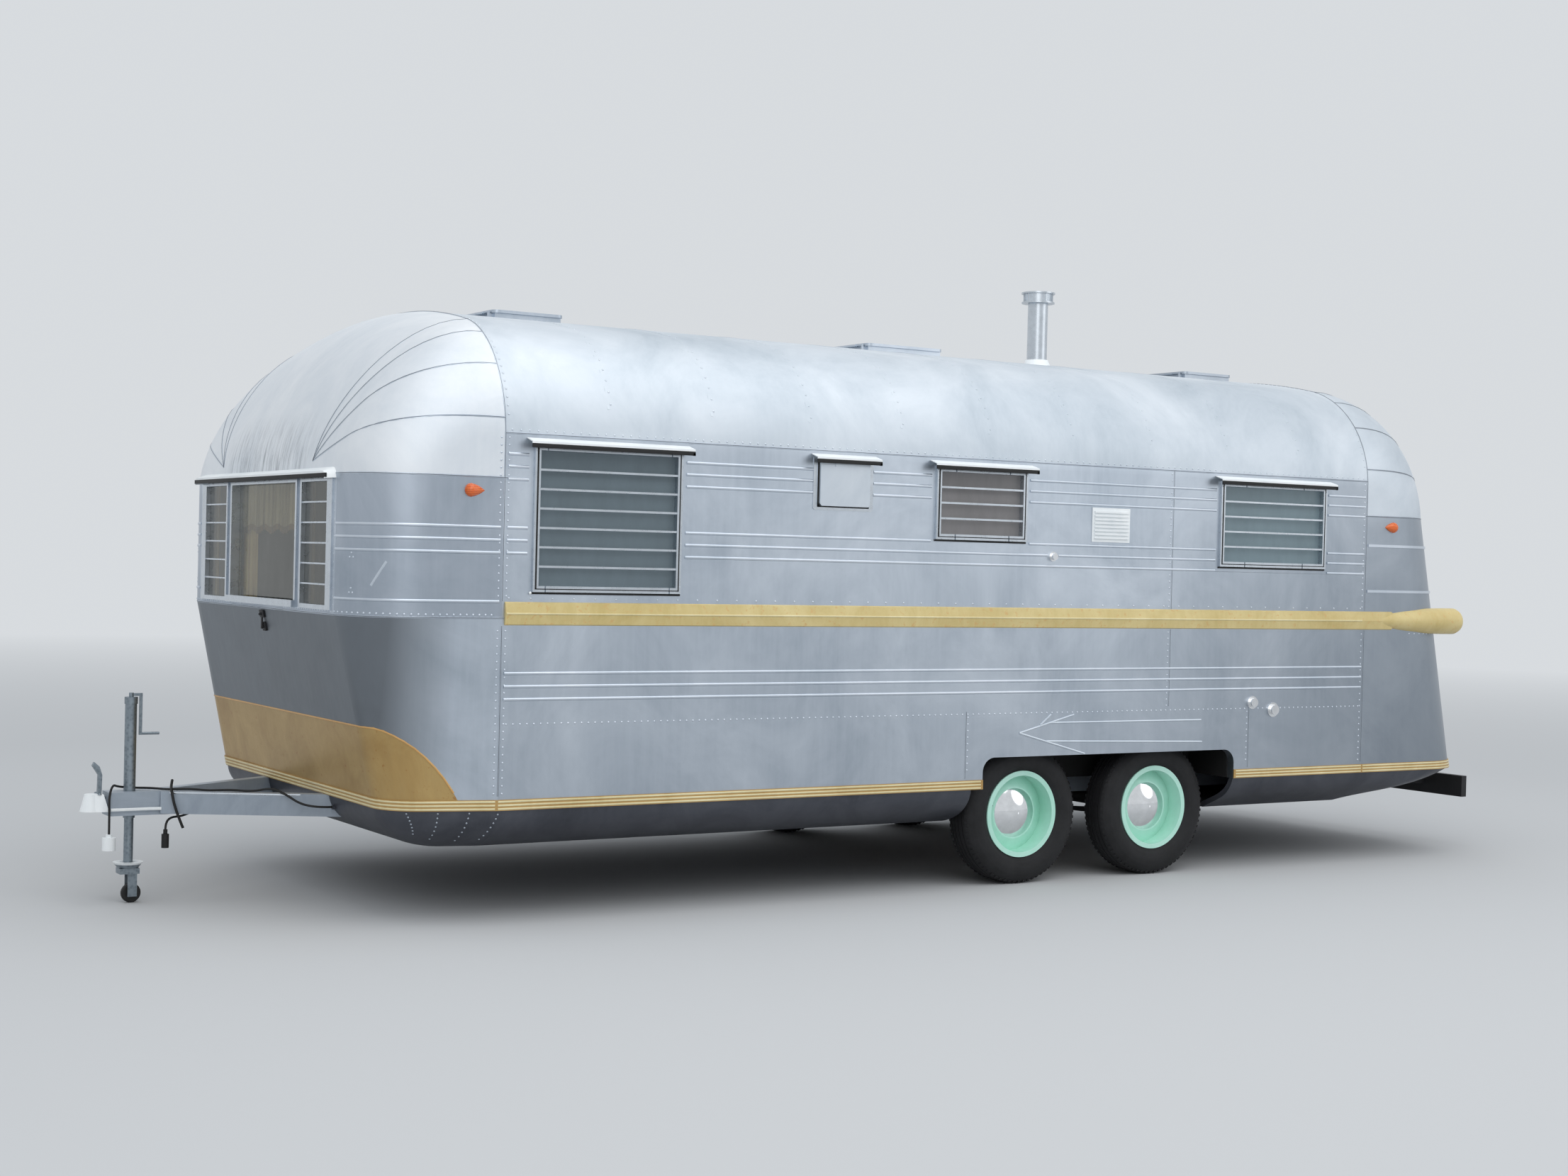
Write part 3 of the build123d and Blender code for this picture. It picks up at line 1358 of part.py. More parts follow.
with BuildPart() as door_hinges:
    for z in door_hinges_z:
        for end in (-1, 1):
            with Locations((door_hinge_x, door_hinge_y, z + end * end_knuckle_z)):
                Cylinder(hinge_r, end_knuckle)
            with Locations((door_hinge_x + leaf_middle, -(half_width + leaf_thin / 2), z + end * end_knuckle_z)):
                Box(leaf_length, leaf_thin, end_knuckle)
        with Locations((door_hinge_x, door_hinge_y, z)):
            Cylinder(hinge_pin_r, knuckle + 2 * (knuckle_gap + end_knuckle))
save(Compound(children=[*hatch_frame.part.solids(), *door_hinges.part.solids()]), "door_fittings")
with BuildPart() as door_glass:
    with Locations((door_mid_x, -(half_width - door_glass_in), door_glass_mid_z)):
        Box(door_glass_width - 2 * window_frame, glass_thick, door_glass_height - 2 * window_frame)
save(door_glass.part, "door_glass")
with BuildPart() as door_stripe:
    extrude(stripe_section(-1, door_rear_x + door_gap), amount=door_width - door_stripe_short, dir=(1, 0, 0))
save(door_stripe.part, "door_stripe")

# Door handle: plate, stem and lever
handle_z = 1180.0
handle_stem_x = door_rear_x + 60.0
plate_width = 34.0
plate_height = 110.0
plate_thick = 6.0
stem_r = 8.0
stem_length = 34.0
lever_x = handle_stem_x + 35.0
lever_y = half_width + 40.0
lever_length = 100.0
lever_thick = 12.0
lever_height = 20.0
with BuildPart() as door_handle:
    with Locations((handle_stem_x, -(half_width + plate_thick / 2), handle_z)):
        Box(plate_width, plate_thick, plate_height)
    with Locations(Location((handle_stem_x, -(half_width + 3.0 + stem_length / 2), handle_z), (90, 0, 0))):
        Cylinder(stem_r, stem_length)
    with Locations((lever_x, -lever_y, handle_z)):
        Box(lever_length, lever_thick, lever_height)
save(door_handle.part, "door_handle")

# Chimney with its flashing and its cap of three plates: radius, height, middle above the crown
flashing_low_r = 110.0
flashing_top_r = 62.0
flashing_height = 120.0
flashing_sink = 20.0
cap_rings = (
    (90.0, 8.0, chimney_rise - 36.0),
    (78.0, 44.0, chimney_rise - 10.0),
    (92.0, 8.0, chimney_rise + 16.0),
)
with BuildPart() as chimney:
    with Locations((chimney_x, chimney_y, crown_z - flashing_sink)):
        Cone(flashing_low_r, flashing_top_r, flashing_height)
    with Locations((chimney_x, chimney_y, crown_z + chimney_rise / 2 - flashing_sink)):
        Cylinder(chimney_r, chimney_rise - 2 * flashing_sink)
    for radius, height, rise in cap_rings:
        with Locations((chimney_x, chimney_y, crown_z + rise)):
            Cylinder(radius, height)
    add(roof.part, mode=Mode.SUBTRACT)
    with Locations((chimney_x, chimney_y, crown_z - 3 * wall)):
        Box(4 * flashing_low_r, 4 * flashing_low_r, 6 * wall, mode=Mode.SUBTRACT)
save(chimney.part, "chimney")

# Roof vents with hinged lids: middle x, length
vents = (("front", 1825.0, 340.0), ("middle", -340.0, 460.0), ("rear", -2470.0, 340.0))
vent_half_y = 180.0
vent_base = 26.0
vent_wall = 15.0
vent_floor = 6.0
lid_thick = 14.0
lid_over = 12.0
lid_round = 30.0
vent_pin_r = 3.0
vent_pin_x = 22.0
vent_pin_z = crown_z + vent_base + 4.0
vent_knuckle_r = 6.5
vent_knuckle = 200.0
ear_y = vent_half_y - 24.0
ear_width = 8.0
ear_arm = 28.0
ear_post = 10.0
with BuildPart() as roof_vents:
    for name, x, length in vents:
        pin_x = x + length / 2 + vent_pin_x
        with Locations((x, 0, crown_z)):
            Box(length, 2 * vent_half_y, 2 * vent_base)
        with Locations((x, 0, crown_z + vent_base)):
            Box(
                length - 2 * vent_wall,
                2 * (vent_half_y - vent_wall),
                2 * (vent_base - vent_floor),
                mode=Mode.SUBTRACT,
            )
        with Locations(Location((pin_x, 0, vent_pin_z), (90, 0, 0))):
            Cylinder(vent_pin_r, 2 * (ear_y + ear_width / 2))
        for sign in (-1, 1):
            with Locations((pin_x + ear_post / 2 - ear_arm / 2, sign * ear_y, crown_z + vent_base / 2 - 4.0)):
                Box(ear_arm, ear_width, vent_base + 4.0)
            with Locations((pin_x, sign * ear_y, crown_z + vent_base + 2.0)):
                Box(ear_post, ear_width, 14.0)
    add(roof.part, mode=Mode.SUBTRACT)
    with Locations((0, 0, crown_z - 3 * wall - vent_base / 2)):
        Box(far, 4 * vent_half_y, 4 * wall + vent_base, mode=Mode.SUBTRACT)
save(roof_vents.part, "roof_vents")
for name, x, length in vents:
    pin_x = x + length / 2 + vent_pin_x
    with BuildPart() as lid:
        with Locations((x, 0, crown_z + vent_base + fit_gap + lid_thick / 2)):
            Box(length + 2 * lid_over, 2 * (vent_half_y + lid_over), lid_thick)
        fillet(lid.edges().filter_by(Axis.Z), lid_round)
        with Locations((pin_x - 8.0, 0, vent_pin_z + 2.0)):
            Box(12.0, vent_knuckle - 4.0, 4.0)
        with Locations(Location((pin_x, 0, vent_pin_z), (90, 0, 0))):
            Cylinder(vent_knuckle_r, vent_knuckle)
            Cylinder(vent_pin_r + running_gap, 2 * vent_knuckle, mode=Mode.SUBTRACT)
    save(lid.part, f"vent_lid_{name}")

# Marker lamps, teardrops lying on the wall: x, way that the wide end points
marker_z = 1816.0
marker_r = 29.0
marker_tail = 61.0
markers = ((front_seam_x + 150.0, 1), (rear_seam_x - 204.0, -1))
wide_mid = (marker_r * cos(radians(45)), marker_r * sin(radians(45)))
tail_mid = (-0.55 * marker_tail, 0.62 * marker_r)
with BuildPart() as marker_lamps:
    for x, way in markers:
        for sign in (-1, 1):
            with BuildSketch(Plane(origin=(x, sign * half_width, marker_z), x_dir=(way, 0, 0), z_dir=(0, -way, 0))):
                with BuildLine():
                    ThreePointArc((marker_r, 0), wide_mid, (0, marker_r))
                    ThreePointArc((0, marker_r), tail_mid, (-marker_tail, 0))
                    Line((-marker_tail, 0), (marker_r, 0))
                make_face()
            revolve(axis=Axis((x, sign * half_width, marker_z), (-sign, 0, 0)), revolution_arc=180.0)
save(marker_lamps.part, "marker_lamps")

# Louvred vent on the left side
louvre_rear_x = -1004.0
louvre_front_x = -761.0
louvre_low_z = 1686.0
louvre_top_z = 1855.0
louvres = 8
louvre_plate = 4.0
louvre_out = 11.0
louvre_edge = 12.0
louvre_share = 0.5
louvre_mid_x = (louvre_front_x + louvre_rear_x) / 2
louvre_width = louvre_front_x - louvre_rear_x
louvre_height = louvre_top_z - louvre_low_z
louvre_pitch = (louvre_height - 2 * louvre_edge) / louvres
louvre_deep = louvre_out - louvre_plate + weld_lap
with BuildPart() as louvre_vent:
    with Locations((louvre_mid_x, half_width + louvre_plate / 2, (louvre_low_z + louvre_top_z) / 2)):
        Box(louvre_width, louvre_plate, louvre_height)
    for row in range(louvres):
        z = louvre_low_z + louvre_edge + (row + 0.5) * louvre_pitch
        with Locations((louvre_mid_x, half_width + louvre_out - louvre_deep / 2, z)):
            Box(louvre_width - 2 * louvre_edge, louvre_deep, louvre_pitch * louvre_share)
save(louvre_vent.part, "louvre_vent")

# Filler caps and round cover on the left side: x, z, radius
fillers = ((-1873.0, 877.0, 34.0), (-2022.0, 837.0, 38.0), (disc_x, disc_z, disc_r))
flange_out = 6.0
knob_out = 23.0
knob_share = 0.7
with BuildPart() as filler_caps:
    for x, z, radius in fillers:
        with Locations(Location((x, half_width + flange_out / 2, z), (90, 0, 0))):
            Cylinder(radius, flange_out)
        with Locations(Location((x, half_width + (knob_out + flange_out - weld_lap) / 2, z), (90, 0, 0))):
            Cylinder(radius * knob_share, knob_out - flange_out + weld_lap)
save(filler_caps.part, "filler_caps")


def cord(points, diameter):
    """Tube along straight runs joined by the largest arcs that the runs allow."""
    path_points = [Vector(*point) for point in points]
    radii = []
    for before, corner, after in zip(path_points, path_points[1:], path_points[2:]):
        first = corner - before
        second = after - corner
        half = radians(first.get_angle(second)) / 2
        radii.append(0.45 * min(first.length, second.length) / tan(half))
    with BuildPart() as tube:
        with BuildLine() as path:
            FilletPolyline(*path_points, radius=radii)
        with BuildSketch(Plane(origin=path_points[0], z_dir=path_points[1] - path_points[0])):
            Circle(diameter / 2)
        sweep(path=path.line)
    return tube.part


# Cables from the belly's glands: one over the left beam and the box to the white plug
cable_d = 10.0
tow_cable_points = (
    (gland_x, gland_ys[0], gland_z),
    (2895.0, gland_ys[0], gland_z),
    (2962.0, 408.0, 446.0),
    (3010.0, 350.0, 486.0),
    (3060.0, 304.0, 512.0),
    (3125.0, 246.0, 491.0),
    (3205.0, 196.0, 498.0),
    (3285.0, 146.0, 491.0),
    (3360.0, 98.0, 498.0),
    (3430.0, 48.0, 491.0),
    (3500.0, 8.0, 497.0),
    (3562.0, -44.0, 494.0),
    (3634.0, -28.0, 503.0),
    (3672.0, 38.0, 520.0),
    (3698.0, 80.0, 477.0),
    (3694.0, 75.0, 395.0),
    (3694.0, 75.0, 310.0),
)
save(cord(tow_cable_points, cable_d), "tow_cable")

# The other along the left beam's inner side to the black plug
plug_cable_points = (
    (gland_x, gland_ys[1], gland_z),
    (2892.0, gland_ys[1], gland_z),
    (2965.0, 284.0, 433.0),
    (3060.0, 235.0, 438.0),
    (3150.0, 184.0, 431.0),
    (3235.0, 138.0, 438.0),
    (3310.0, 92.0, 412.0),
    (3372.0, 64.0, 374.0),
    (3428.0, 68.0, 373.0),
    (3454.0, 83.0, 350.0),
    (3454.0, 83.0, 322.0),
)
save(cord(plug_cable_points, cable_d), "plug_cable")

# Tie over the cable and the beam, with both ends free
tie_d = 12.0
tie_points = (
    (3408.0, 14.0, 528.0),
    (3424.0, 50.0, 504.0),
    (3438.0, 110.0, 491.0),
    (3424.0, 116.0, 415.0),
    (3390.0, 126.0, 330.0),
)
save(cord(tie_points, tie_d), "cable_tie")


def hanging_plug(end, neck_r, neck, body_r, body):
    """Plug hanging from the end of a cable: a neck and a wider body."""
    with BuildPart() as plug:
        with Locations((end[0], end[1], end[2] - neck / 2)):
            Cylinder(neck_r, neck)
        with Locations((end[0], end[1], end[2] - neck - body / 2)):
            Cylinder(body_r, body)
    return plug.part


save(hanging_plug(tow_cable_points[-1], 13.0, 14.0, 28.0, 55.0), "white_plug")
save(hanging_plug(plug_cable_points[-1], 9.0, 20.0, 16.0, 60.0), "cable_plug")
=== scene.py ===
"""Looks of the travel caravan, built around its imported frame. Metres, +X forwards, +Y left, +Z up."""

import json
from math import atan2, cos, hypot, pi, radians, sin

import bmesh
import bpy
from mathutils import Matrix, Vector
from mathutils.bvhtree import BVHTree


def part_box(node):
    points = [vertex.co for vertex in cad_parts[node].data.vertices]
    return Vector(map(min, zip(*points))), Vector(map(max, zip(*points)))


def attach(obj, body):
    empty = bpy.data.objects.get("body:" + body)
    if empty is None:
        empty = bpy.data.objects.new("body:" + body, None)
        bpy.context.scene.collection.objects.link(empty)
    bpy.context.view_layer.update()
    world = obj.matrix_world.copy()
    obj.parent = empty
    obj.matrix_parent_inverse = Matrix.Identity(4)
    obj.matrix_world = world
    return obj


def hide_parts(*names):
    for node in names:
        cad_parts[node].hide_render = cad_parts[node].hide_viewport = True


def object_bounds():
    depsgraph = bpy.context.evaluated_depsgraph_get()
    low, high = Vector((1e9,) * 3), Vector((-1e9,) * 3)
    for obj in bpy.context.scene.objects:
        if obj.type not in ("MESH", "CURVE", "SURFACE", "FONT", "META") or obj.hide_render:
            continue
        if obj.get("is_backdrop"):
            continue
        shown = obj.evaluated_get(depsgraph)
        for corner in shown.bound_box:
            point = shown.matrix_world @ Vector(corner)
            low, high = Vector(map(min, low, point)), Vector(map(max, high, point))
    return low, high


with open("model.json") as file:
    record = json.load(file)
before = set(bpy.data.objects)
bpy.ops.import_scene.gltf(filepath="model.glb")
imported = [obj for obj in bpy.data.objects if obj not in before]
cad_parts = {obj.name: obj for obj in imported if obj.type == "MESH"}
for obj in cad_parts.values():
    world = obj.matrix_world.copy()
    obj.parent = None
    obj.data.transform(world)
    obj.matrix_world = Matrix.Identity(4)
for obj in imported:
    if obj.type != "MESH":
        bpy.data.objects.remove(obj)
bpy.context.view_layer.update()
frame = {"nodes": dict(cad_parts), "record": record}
nodes = frame["nodes"]

# Places on the body, from the frame
roof_low, roof_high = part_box("roof")
front_seam_x = roof_high.x
rear_seam_x = roof_low.x
drip_z = roof_low.z
crown_z = roof_high.z
wall_low, wall_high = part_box("wall_left")
half_width = wall_high.y
sill_z = wall_low.z
band_low, band_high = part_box("front_band")
belt_z = band_low.z
cap_z = band_high.z
front_face_x = band_high.x
signs = (1, -1)
corners = ("front_left", "front_right", "rear_left", "rear_right")

# Where painted shade sets in low and rearwards on the sheets and on the nose, and where the front dome's dark
# runs set in
painted_shade_top_z = 2.0
rear_painted_shade_x = -0.9
nose_shade_x = 2.60
runs_half = 0.62
runs_top_z = 2.16


def rgb(red, green, blue):
    """Linear colour from the values that a picture shows."""
    shown = (red, green, blue)
    return tuple(((value + 0.055) / 1.055) ** 2.4 if value > 0.04 else value / 12.92 for value in shown)


class Nodes:
    """A material or world in the making, with short ways to add and join nodes."""

    def __init__(self, name, kind="materials", shader="Principled BSDF", place="Object"):
        self.made = getattr(bpy.data, kind).new(name)
        self.made.use_nodes = True
        self.tree = self.made.node_tree
        self.shader = self.tree.nodes[shader]
        self.place = self.tree.nodes.new("ShaderNodeTexCoord").outputs[place]

    def add(self, kind, **sockets):
        node = self.tree.nodes.new(kind)
        for key, value in sockets.items():
            if key in node.inputs:
                self.put(value, node.inputs[key])
            else:
                setattr(node, key, value)
        return node

    def put(self, value, socket):
        if isinstance(value, bpy.types.NodeSocket):
            self.tree.links.new(value, socket)
        else:
            socket.default_value = value

    def set(self, **sockets):
        for key, value in sockets.items():
            name = key.replace("_", " ")
            if isinstance(value, tuple) and len(value) == 3:
                value = (*value, 1.0)
            self.put(value, self.shader.inputs[name])

    def noise(self, scale, detail, rough, stretch=(1.0, 1.0, 1.0), warp=0.0):
        mapping = self.add("ShaderNodeMapping", Scale=stretch, Vector=self.place)
        node = self.add("ShaderNodeTexNoise", Scale=scale, Detail=detail, Roughness=rough, Distortion=warp)
        self.put(mapping.outputs["Vector"], node.inputs["Vector"])
        return node.outputs["Fac"]

    def ramp(self, factor, *stops):
        node = self.add("ShaderNodeValToRGB", Fac=factor)
        elements = node.color_ramp.elements
        while len(elements) < len(stops):
            elements.new(0.5)
        for element, (place, tone) in zip(elements, stops):
            element.position = place
            element.color = (*tone, 1.0) if isinstance(tone, tuple) else (tone, tone, tone, 1.0)
        return node.outputs["Color"]

    def math(self, operation, first, second=0.0, clamp=False):
        node = self.add("ShaderNodeMath", operation=operation, use_clamp=clamp)
        self.put(first, node.inputs[0])
        self.put(second, node.inputs[1])
        return node.outputs[0]

    def scaled(self, value, by, plus):
        made = self.math("MULTIPLY_ADD", value, by)
        made.node.inputs[2].default_value = plus
        return made

    def past(self, value, edge, by):
        """How far a value is past an edge, times a factor, from 0 to 1."""
        return self.math("MULTIPLY", self.math("SUBTRACT", value, edge), by, True)

    def mix(self, factor, first, second):
        node = self.add("ShaderNodeMix", data_type="RGBA")
        self.put(factor, node.inputs["Factor"])
        for value, socket in ((first, node.inputs["A"]), (second, node.inputs["B"])):
            self.put((*value, 1.0) if isinstance(value, tuple) else value, socket)
        return node.outputs["Result"]

    def bump(self, height, strength, distance, onto=None):
        node = self.add("ShaderNodeBump", Strength=strength, Distance=distance, Height=height)
        if onto is not None:
            self.put(onto, node.inputs["Normal"])
        return node.outputs["Normal"]

    def position(self):
        return self.add("ShaderNodeSeparateXYZ", Vector=self.place).outputs


def aluminium(name, dark, light, rough_low=0.30, rough_high=0.46, waves=0.012,
              metal=1.0, painted_shade_low_rear=False, shaded_nose=False, dark_runs=False):
    """Weathered sheet: cloudy oxide, fine streaks, specks and slight oil-canning."""
    m = Nodes(name)
    clouds = m.noise(1.7, 6.0, 0.62, warp=0.6)
    streaks = m.noise(9.0, 5.0, 0.7, stretch=(3.2, 3.2, 0.28))
    grain = m.noise(420.0, 2.0, 0.5)
    specks = m.noise(60.0, 3.0, 0.6)
    tone = m.ramp(clouds, (0.30, dark), (0.72, light))
    tone = m.mix(m.ramp(streaks, (0.35, 0.0), (0.80, 0.34)), tone, light)
    tone = m.mix(m.ramp(specks, (0.62, 0.0), (0.74, 0.14)), tone, dark)
    # Painted shade: the sheet darkens towards the bottom, where it would mirror the dark ground, and towards
    # the rear
    if painted_shade_low_rear:
        x, y, z = m.position()
        low_shade = m.past(painted_shade_top_z, z, 0.16)
        rearwards = m.past(rear_painted_shade_x, x, 0.22)
        tone = m.mix(m.math("ADD", low_shade, rearwards, True), tone, tuple(0.45 * part for part in dark))
    if shaded_nose:
        x, y, z = m.position()
        blotch = m.scaled(clouds, 0.35, 0.72)
        shade = m.math("MULTIPLY", m.past(x, nose_shade_x, 3.6), blotch, True)
        tone = m.mix(shade, tone, rgb(0.44, 0.46, 0.48))
    if dark_runs:
        x, y, z = m.position()
        runs = m.noise(16.0, 6.0, 0.75, stretch=(1.0, 2.6, 0.16))
        inwards = m.past(runs_half, m.math("ABSOLUTE", y), 4.0)
        downwards = m.past(runs_top_z, z, 5.0)
        front = m.math("GREATER_THAN", x, 0.0)
        mask = m.math("MULTIPLY", m.math("MULTIPLY", inwards, downwards), front)
        mask = m.math("MULTIPLY", mask, m.ramp(runs, (0.46, 0.0), (0.72, 0.75)))
        tone = m.mix(mask, tone, rgb(0.36, 0.39, 0.43))
    rough = m.scaled(streaks, rough_high - rough_low, rough_low)
    dents = m.bump(m.noise(2.1, 2.0, 0.4), 0.30, waves)
    fine = m.bump(grain, 0.05, 0.001, dents)
    m.set(Base_Color=tone, Metallic=metal, Roughness=rough, Normal=fine)
    return m.made


def paint(name, dark, light, rough, speckle=None, wear=0.0, wear_tone=None, coat=0.0, metallic=0.0):
    """Painted metal with cloudy fading, streaks down the surface and worn specks."""
    m = Nodes(name)
    clouds = m.noise(3.1, 6.0, 0.65, warp=0.8)
    streaks = m.noise(14.0, 5.0, 0.7, stretch=(2.6, 2.6, 0.28))
    tone = m.ramp(clouds, (0.28, dark), (0.74, light))
    tone = m.mix(m.ramp(streaks, (0.42, 0.0), (0.85, 0.40)), tone, speckle or light)
    if wear:
        chips = m.noise(38.0, 8.0, 0.72)
        tone = m.mix(m.ramp(chips, (0.62 - wear, 0.0), (0.68 - wear, 0.75)), tone, wear_tone)
    m.set(
        Base_Color=tone,
        Roughness=m.scaled(streaks, 0.16, rough - 0.08),
        Normal=m.bump(m.noise(170.0, 3.0, 0.6), 0.10, 0.001),
        Metallic=metallic,
        Coat_Weight=coat,
        Coat_Roughness=0.15,
    )
    return m.made


def rubber(name, dark, light, rough=0.72):
    m = Nodes(name)
    dust = m.noise(11.0, 7.0, 0.7)
    tone = m.ramp(dust, (0.35, dark), (0.80, light))
    m.set(Base_Color=tone, Roughness=rough, Normal=m.bump(m.noise(260.0, 3.0, 0.6), 0.15, 0.001))
    return m.made


def polished(name, tone, rough):
    m = Nodes(name)
    haze = m.noise(25.0, 5.0, 0.6)
    dull = tuple(0.86 * part for part in tone)
    m.set(
        Base_Color=m.ramp(haze, (0.3, dull), (0.7, tone)), Metallic=1.0, Roughness=m.scaled(haze, 0.08, rough)
    )
    return m.made


def zinc(name, dark, light):
    """Galvanised steel with its mottled crystals."""
    m = Nodes(name)
    cells = m.add("ShaderNodeTexVoronoi", Scale=70.0, Vector=m.place)
    dull = m.noise(16.0, 5.0, 0.6)
    tone = m.ramp(cells.outputs["Distance"], (0.05, dark), (0.6, light))
    tone = m.mix(m.ramp(dull, (0.45, 0.0), (0.75, 0.5)), tone, dark)
    m.set(Base_Color=tone, Metallic=0.85, Roughness=0.42, Normal=m.bump(dull, 0.08, 0.002))
    return m.made


def lens(name, tone, deep):
    """Moulded lens: ribs across it and a darker body."""
    m = Nodes(name)
    wave = m.add("ShaderNodeTexWave", bands_direction="Z", Scale=45.0, Vector=m.place)
    m.set(
        Base_Color=m.ramp(wave.outputs["Fac"], (0.2, deep), (0.8, tone)),
        Roughness=0.16,
        Normal=m.bump(wave.outputs["Fac"], 0.35, 0.002),
        Coat_Weight=0.6,
        Subsurface_Weight=0.15,
    )
    return m.made


def glass(name, tone, clear, rough, bending=1.45):
    """Old sheet glass with a thin film of dust. Where it lets little light through, its tone is a painted
    reflection of the surroundings.
    """
    m = Nodes(name)
    film = m.noise(7.0, 6.0, 0.7, stretch=(1.0, 1.0, 0.4))
    m.set(
        Base_Color=m.ramp(film, (0.3, tuple(0.8 * part for part in tone)), (0.8, tone)),
        Roughness=m.ramp(film, (0.3, rough), (0.8, rough * 2.5)),
        Transmission_Weight=clear,
        IOR=bending,
    )
    return m.made


def cloth(name, tone, shade):
    m = Nodes(name)
    weave = m.noise(240.0, 3.0, 0.6, stretch=(1.0, 1.0, 0.25))
    # Painted shade: dark vertical lines in the tone stand for the shade between the pleats
    fold_shade = m.noise(34.0, 2.0, 0.5, stretch=(0.2, 1.0, 0.03))
    m.set(
        Base_Color=m.ramp(fold_shade, (0.38, shade), (0.60, tone)),
        Roughness=0.85,
        Sheen_Weight=0.2,
        Normal=m.bump(weave, 0.3, 0.001),
    )
    return m.made


def board(name):
    m = Nodes(name)
    rings = m.noise(3.0, 6.0, 0.6, stretch=(0.4, 9.0, 1.0))
    tone = m.ramp(rings, (0.3, rgb(0.36, 0.25, 0.16)), (0.7, rgb(0.55, 0.40, 0.27)))
    m.set(Base_Color=tone, Roughness=0.55)
    return m.made


# Sheets, paints, metals, rubber, glass and cloth
skin = aluminium("skin", rgb(0.68, 0.72, 0.765), rgb(0.85, 0.88, 0.915), painted_shade_low_rear=True)
# The front band's darker copy of the skin is painted shade; the lighter copies on the roof and domes are
# painted sky reflection
skin_band_shaded = aluminium("skin_band_shaded", rgb(0.64, 0.68, 0.725), rgb(0.76, 0.79, 0.83), painted_shade_low_rear=True)
skin_low = aluminium("skin_low", rgb(0.68, 0.72, 0.76), rgb(0.82, 0.85, 0.89), shaded_nose=True)
dome_skin_sky_lit = aluminium(
    "dome_skin_sky_lit", rgb(0.85, 0.875, 0.90), rgb(0.94, 0.95, 0.96), 0.54, 0.68, metal=0.65, dark_runs=True
)
skin_sky_lit = aluminium("skin_sky_lit", rgb(0.74, 0.78, 0.815), rgb(0.87, 0.895, 0.92), 0.46, 0.62, metal=0.65)
skin_pale = aluminium("skin_pale", rgb(0.74, 0.78, 0.82), rgb(0.86, 0.885, 0.91))
trim = polished("trim", rgb(0.82, 0.845, 0.87), 0.24)
rib_trim = aluminium("rib_trim", rgb(0.76, 0.80, 0.84), rgb(0.88, 0.90, 0.93), 0.28, 0.40, waves=0.0)
seam_shade = paint("seam_shade", rgb(0.30, 0.32, 0.35), rgb(0.42, 0.44, 0.47), 0.55)
gold = paint(
    "gold", rgb(0.77, 0.68, 0.43), rgb(0.88, 0.81, 0.59), 0.42,
    wear=0.05, wear_tone=rgb(0.82, 0.66, 0.42),
)
# Lighter gold for the stripe beads: a painted highlight on their ridges
gold_bead_highlight = paint("gold_bead_highlight", rgb(0.82, 0.76, 0.55), rgb(0.92, 0.88, 0.72), 0.36)
apron_gold = paint(
    "apron_gold", rgb(0.64, 0.51, 0.30), rgb(0.76, 0.645, 0.42), 0.38,
    speckle=rgb(0.66, 0.56, 0.38), wear=0.02, wear_tone=rgb(0.62, 0.42, 0.20), metallic=0.3,
)
foot_gold = paint("foot_gold", rgb(0.64, 0.50, 0.28), rgb(0.76, 0.62, 0.38), 0.42)
apron_edge_gold = paint("apron_edge_gold", rgb(0.72, 0.54, 0.30), rgb(0.86, 0.68, 0.42), 0.40)
belly_grey = paint("belly_grey", rgb(0.22, 0.23, 0.26), rgb(0.34, 0.35, 0.38), 0.42, metallic=0.5)
chassis_grey = paint("chassis_grey", rgb(0.52, 0.56, 0.61), rgb(0.66, 0.70, 0.74), 0.40)
chassis_black = paint("chassis_black", rgb(0.06, 0.06, 0.07), rgb(0.14, 0.14, 0.15), 0.60)
well_black = paint("well_black", rgb(0.03, 0.03, 0.03), rgb(0.07, 0.07, 0.07), 0.80)
white = paint("white", rgb(0.90, 0.92, 0.93), rgb(0.97, 0.98, 0.98), 0.35)
mint = paint("mint", rgb(0.68, 0.90, 0.82), rgb(0.79, 0.97, 0.91), 0.24, coat=0.6)
chrome = polished("chrome", (0.88, 0.89, 0.90), 0.04)
galvanised = zinc("galvanised", rgb(0.46, 0.50, 0.53), rgb(0.57, 0.61, 0.64))
tyre_rubber = rubber("tyre_rubber", rgb(0.055, 0.055, 0.065), rgb(0.13, 0.13, 0.14))
black_rubber = rubber("black_rubber", rgb(0.045, 0.045, 0.045), rgb(0.10, 0.10, 0.10), 0.6)
amber = lens("amber", rgb(0.95, 0.47, 0.14), rgb(0.80, 0.32, 0.07))
red = lens("red", rgb(0.75, 0.10, 0.08), rgb(0.45, 0.03, 0.03))
# The side and rear panes let little light through: their grey and blue tones are painted reflections of the
# surroundings
pane = glass("pane", rgb(0.48, 0.54, 0.57), 0.20, 0.10)
middle_pane = glass("middle_pane", rgb(0.59, 0.58, 0.58), 0.18, 0.10)
rear_pane = glass("rear_pane", rgb(0.56, 0.64, 0.67), 0.18, 0.10)
front_pane = glass("front_pane", rgb(0.84, 0.84, 0.80), 0.97, 0.02, 1.30)
curtain = cloth("curtain", rgb(0.86, 0.80, 0.66), rgb(0.62, 0.56, 0.43))
amber_curtain = cloth("amber_curtain", rgb(0.93, 0.84, 0.62), rgb(0.74, 0.60, 0.36))
curtain_edge = cloth("curtain_edge", rgb(0.62, 0.50, 0.30), rgb(0.48, 0.38, 0.22))
floor_board = board("floor_board")

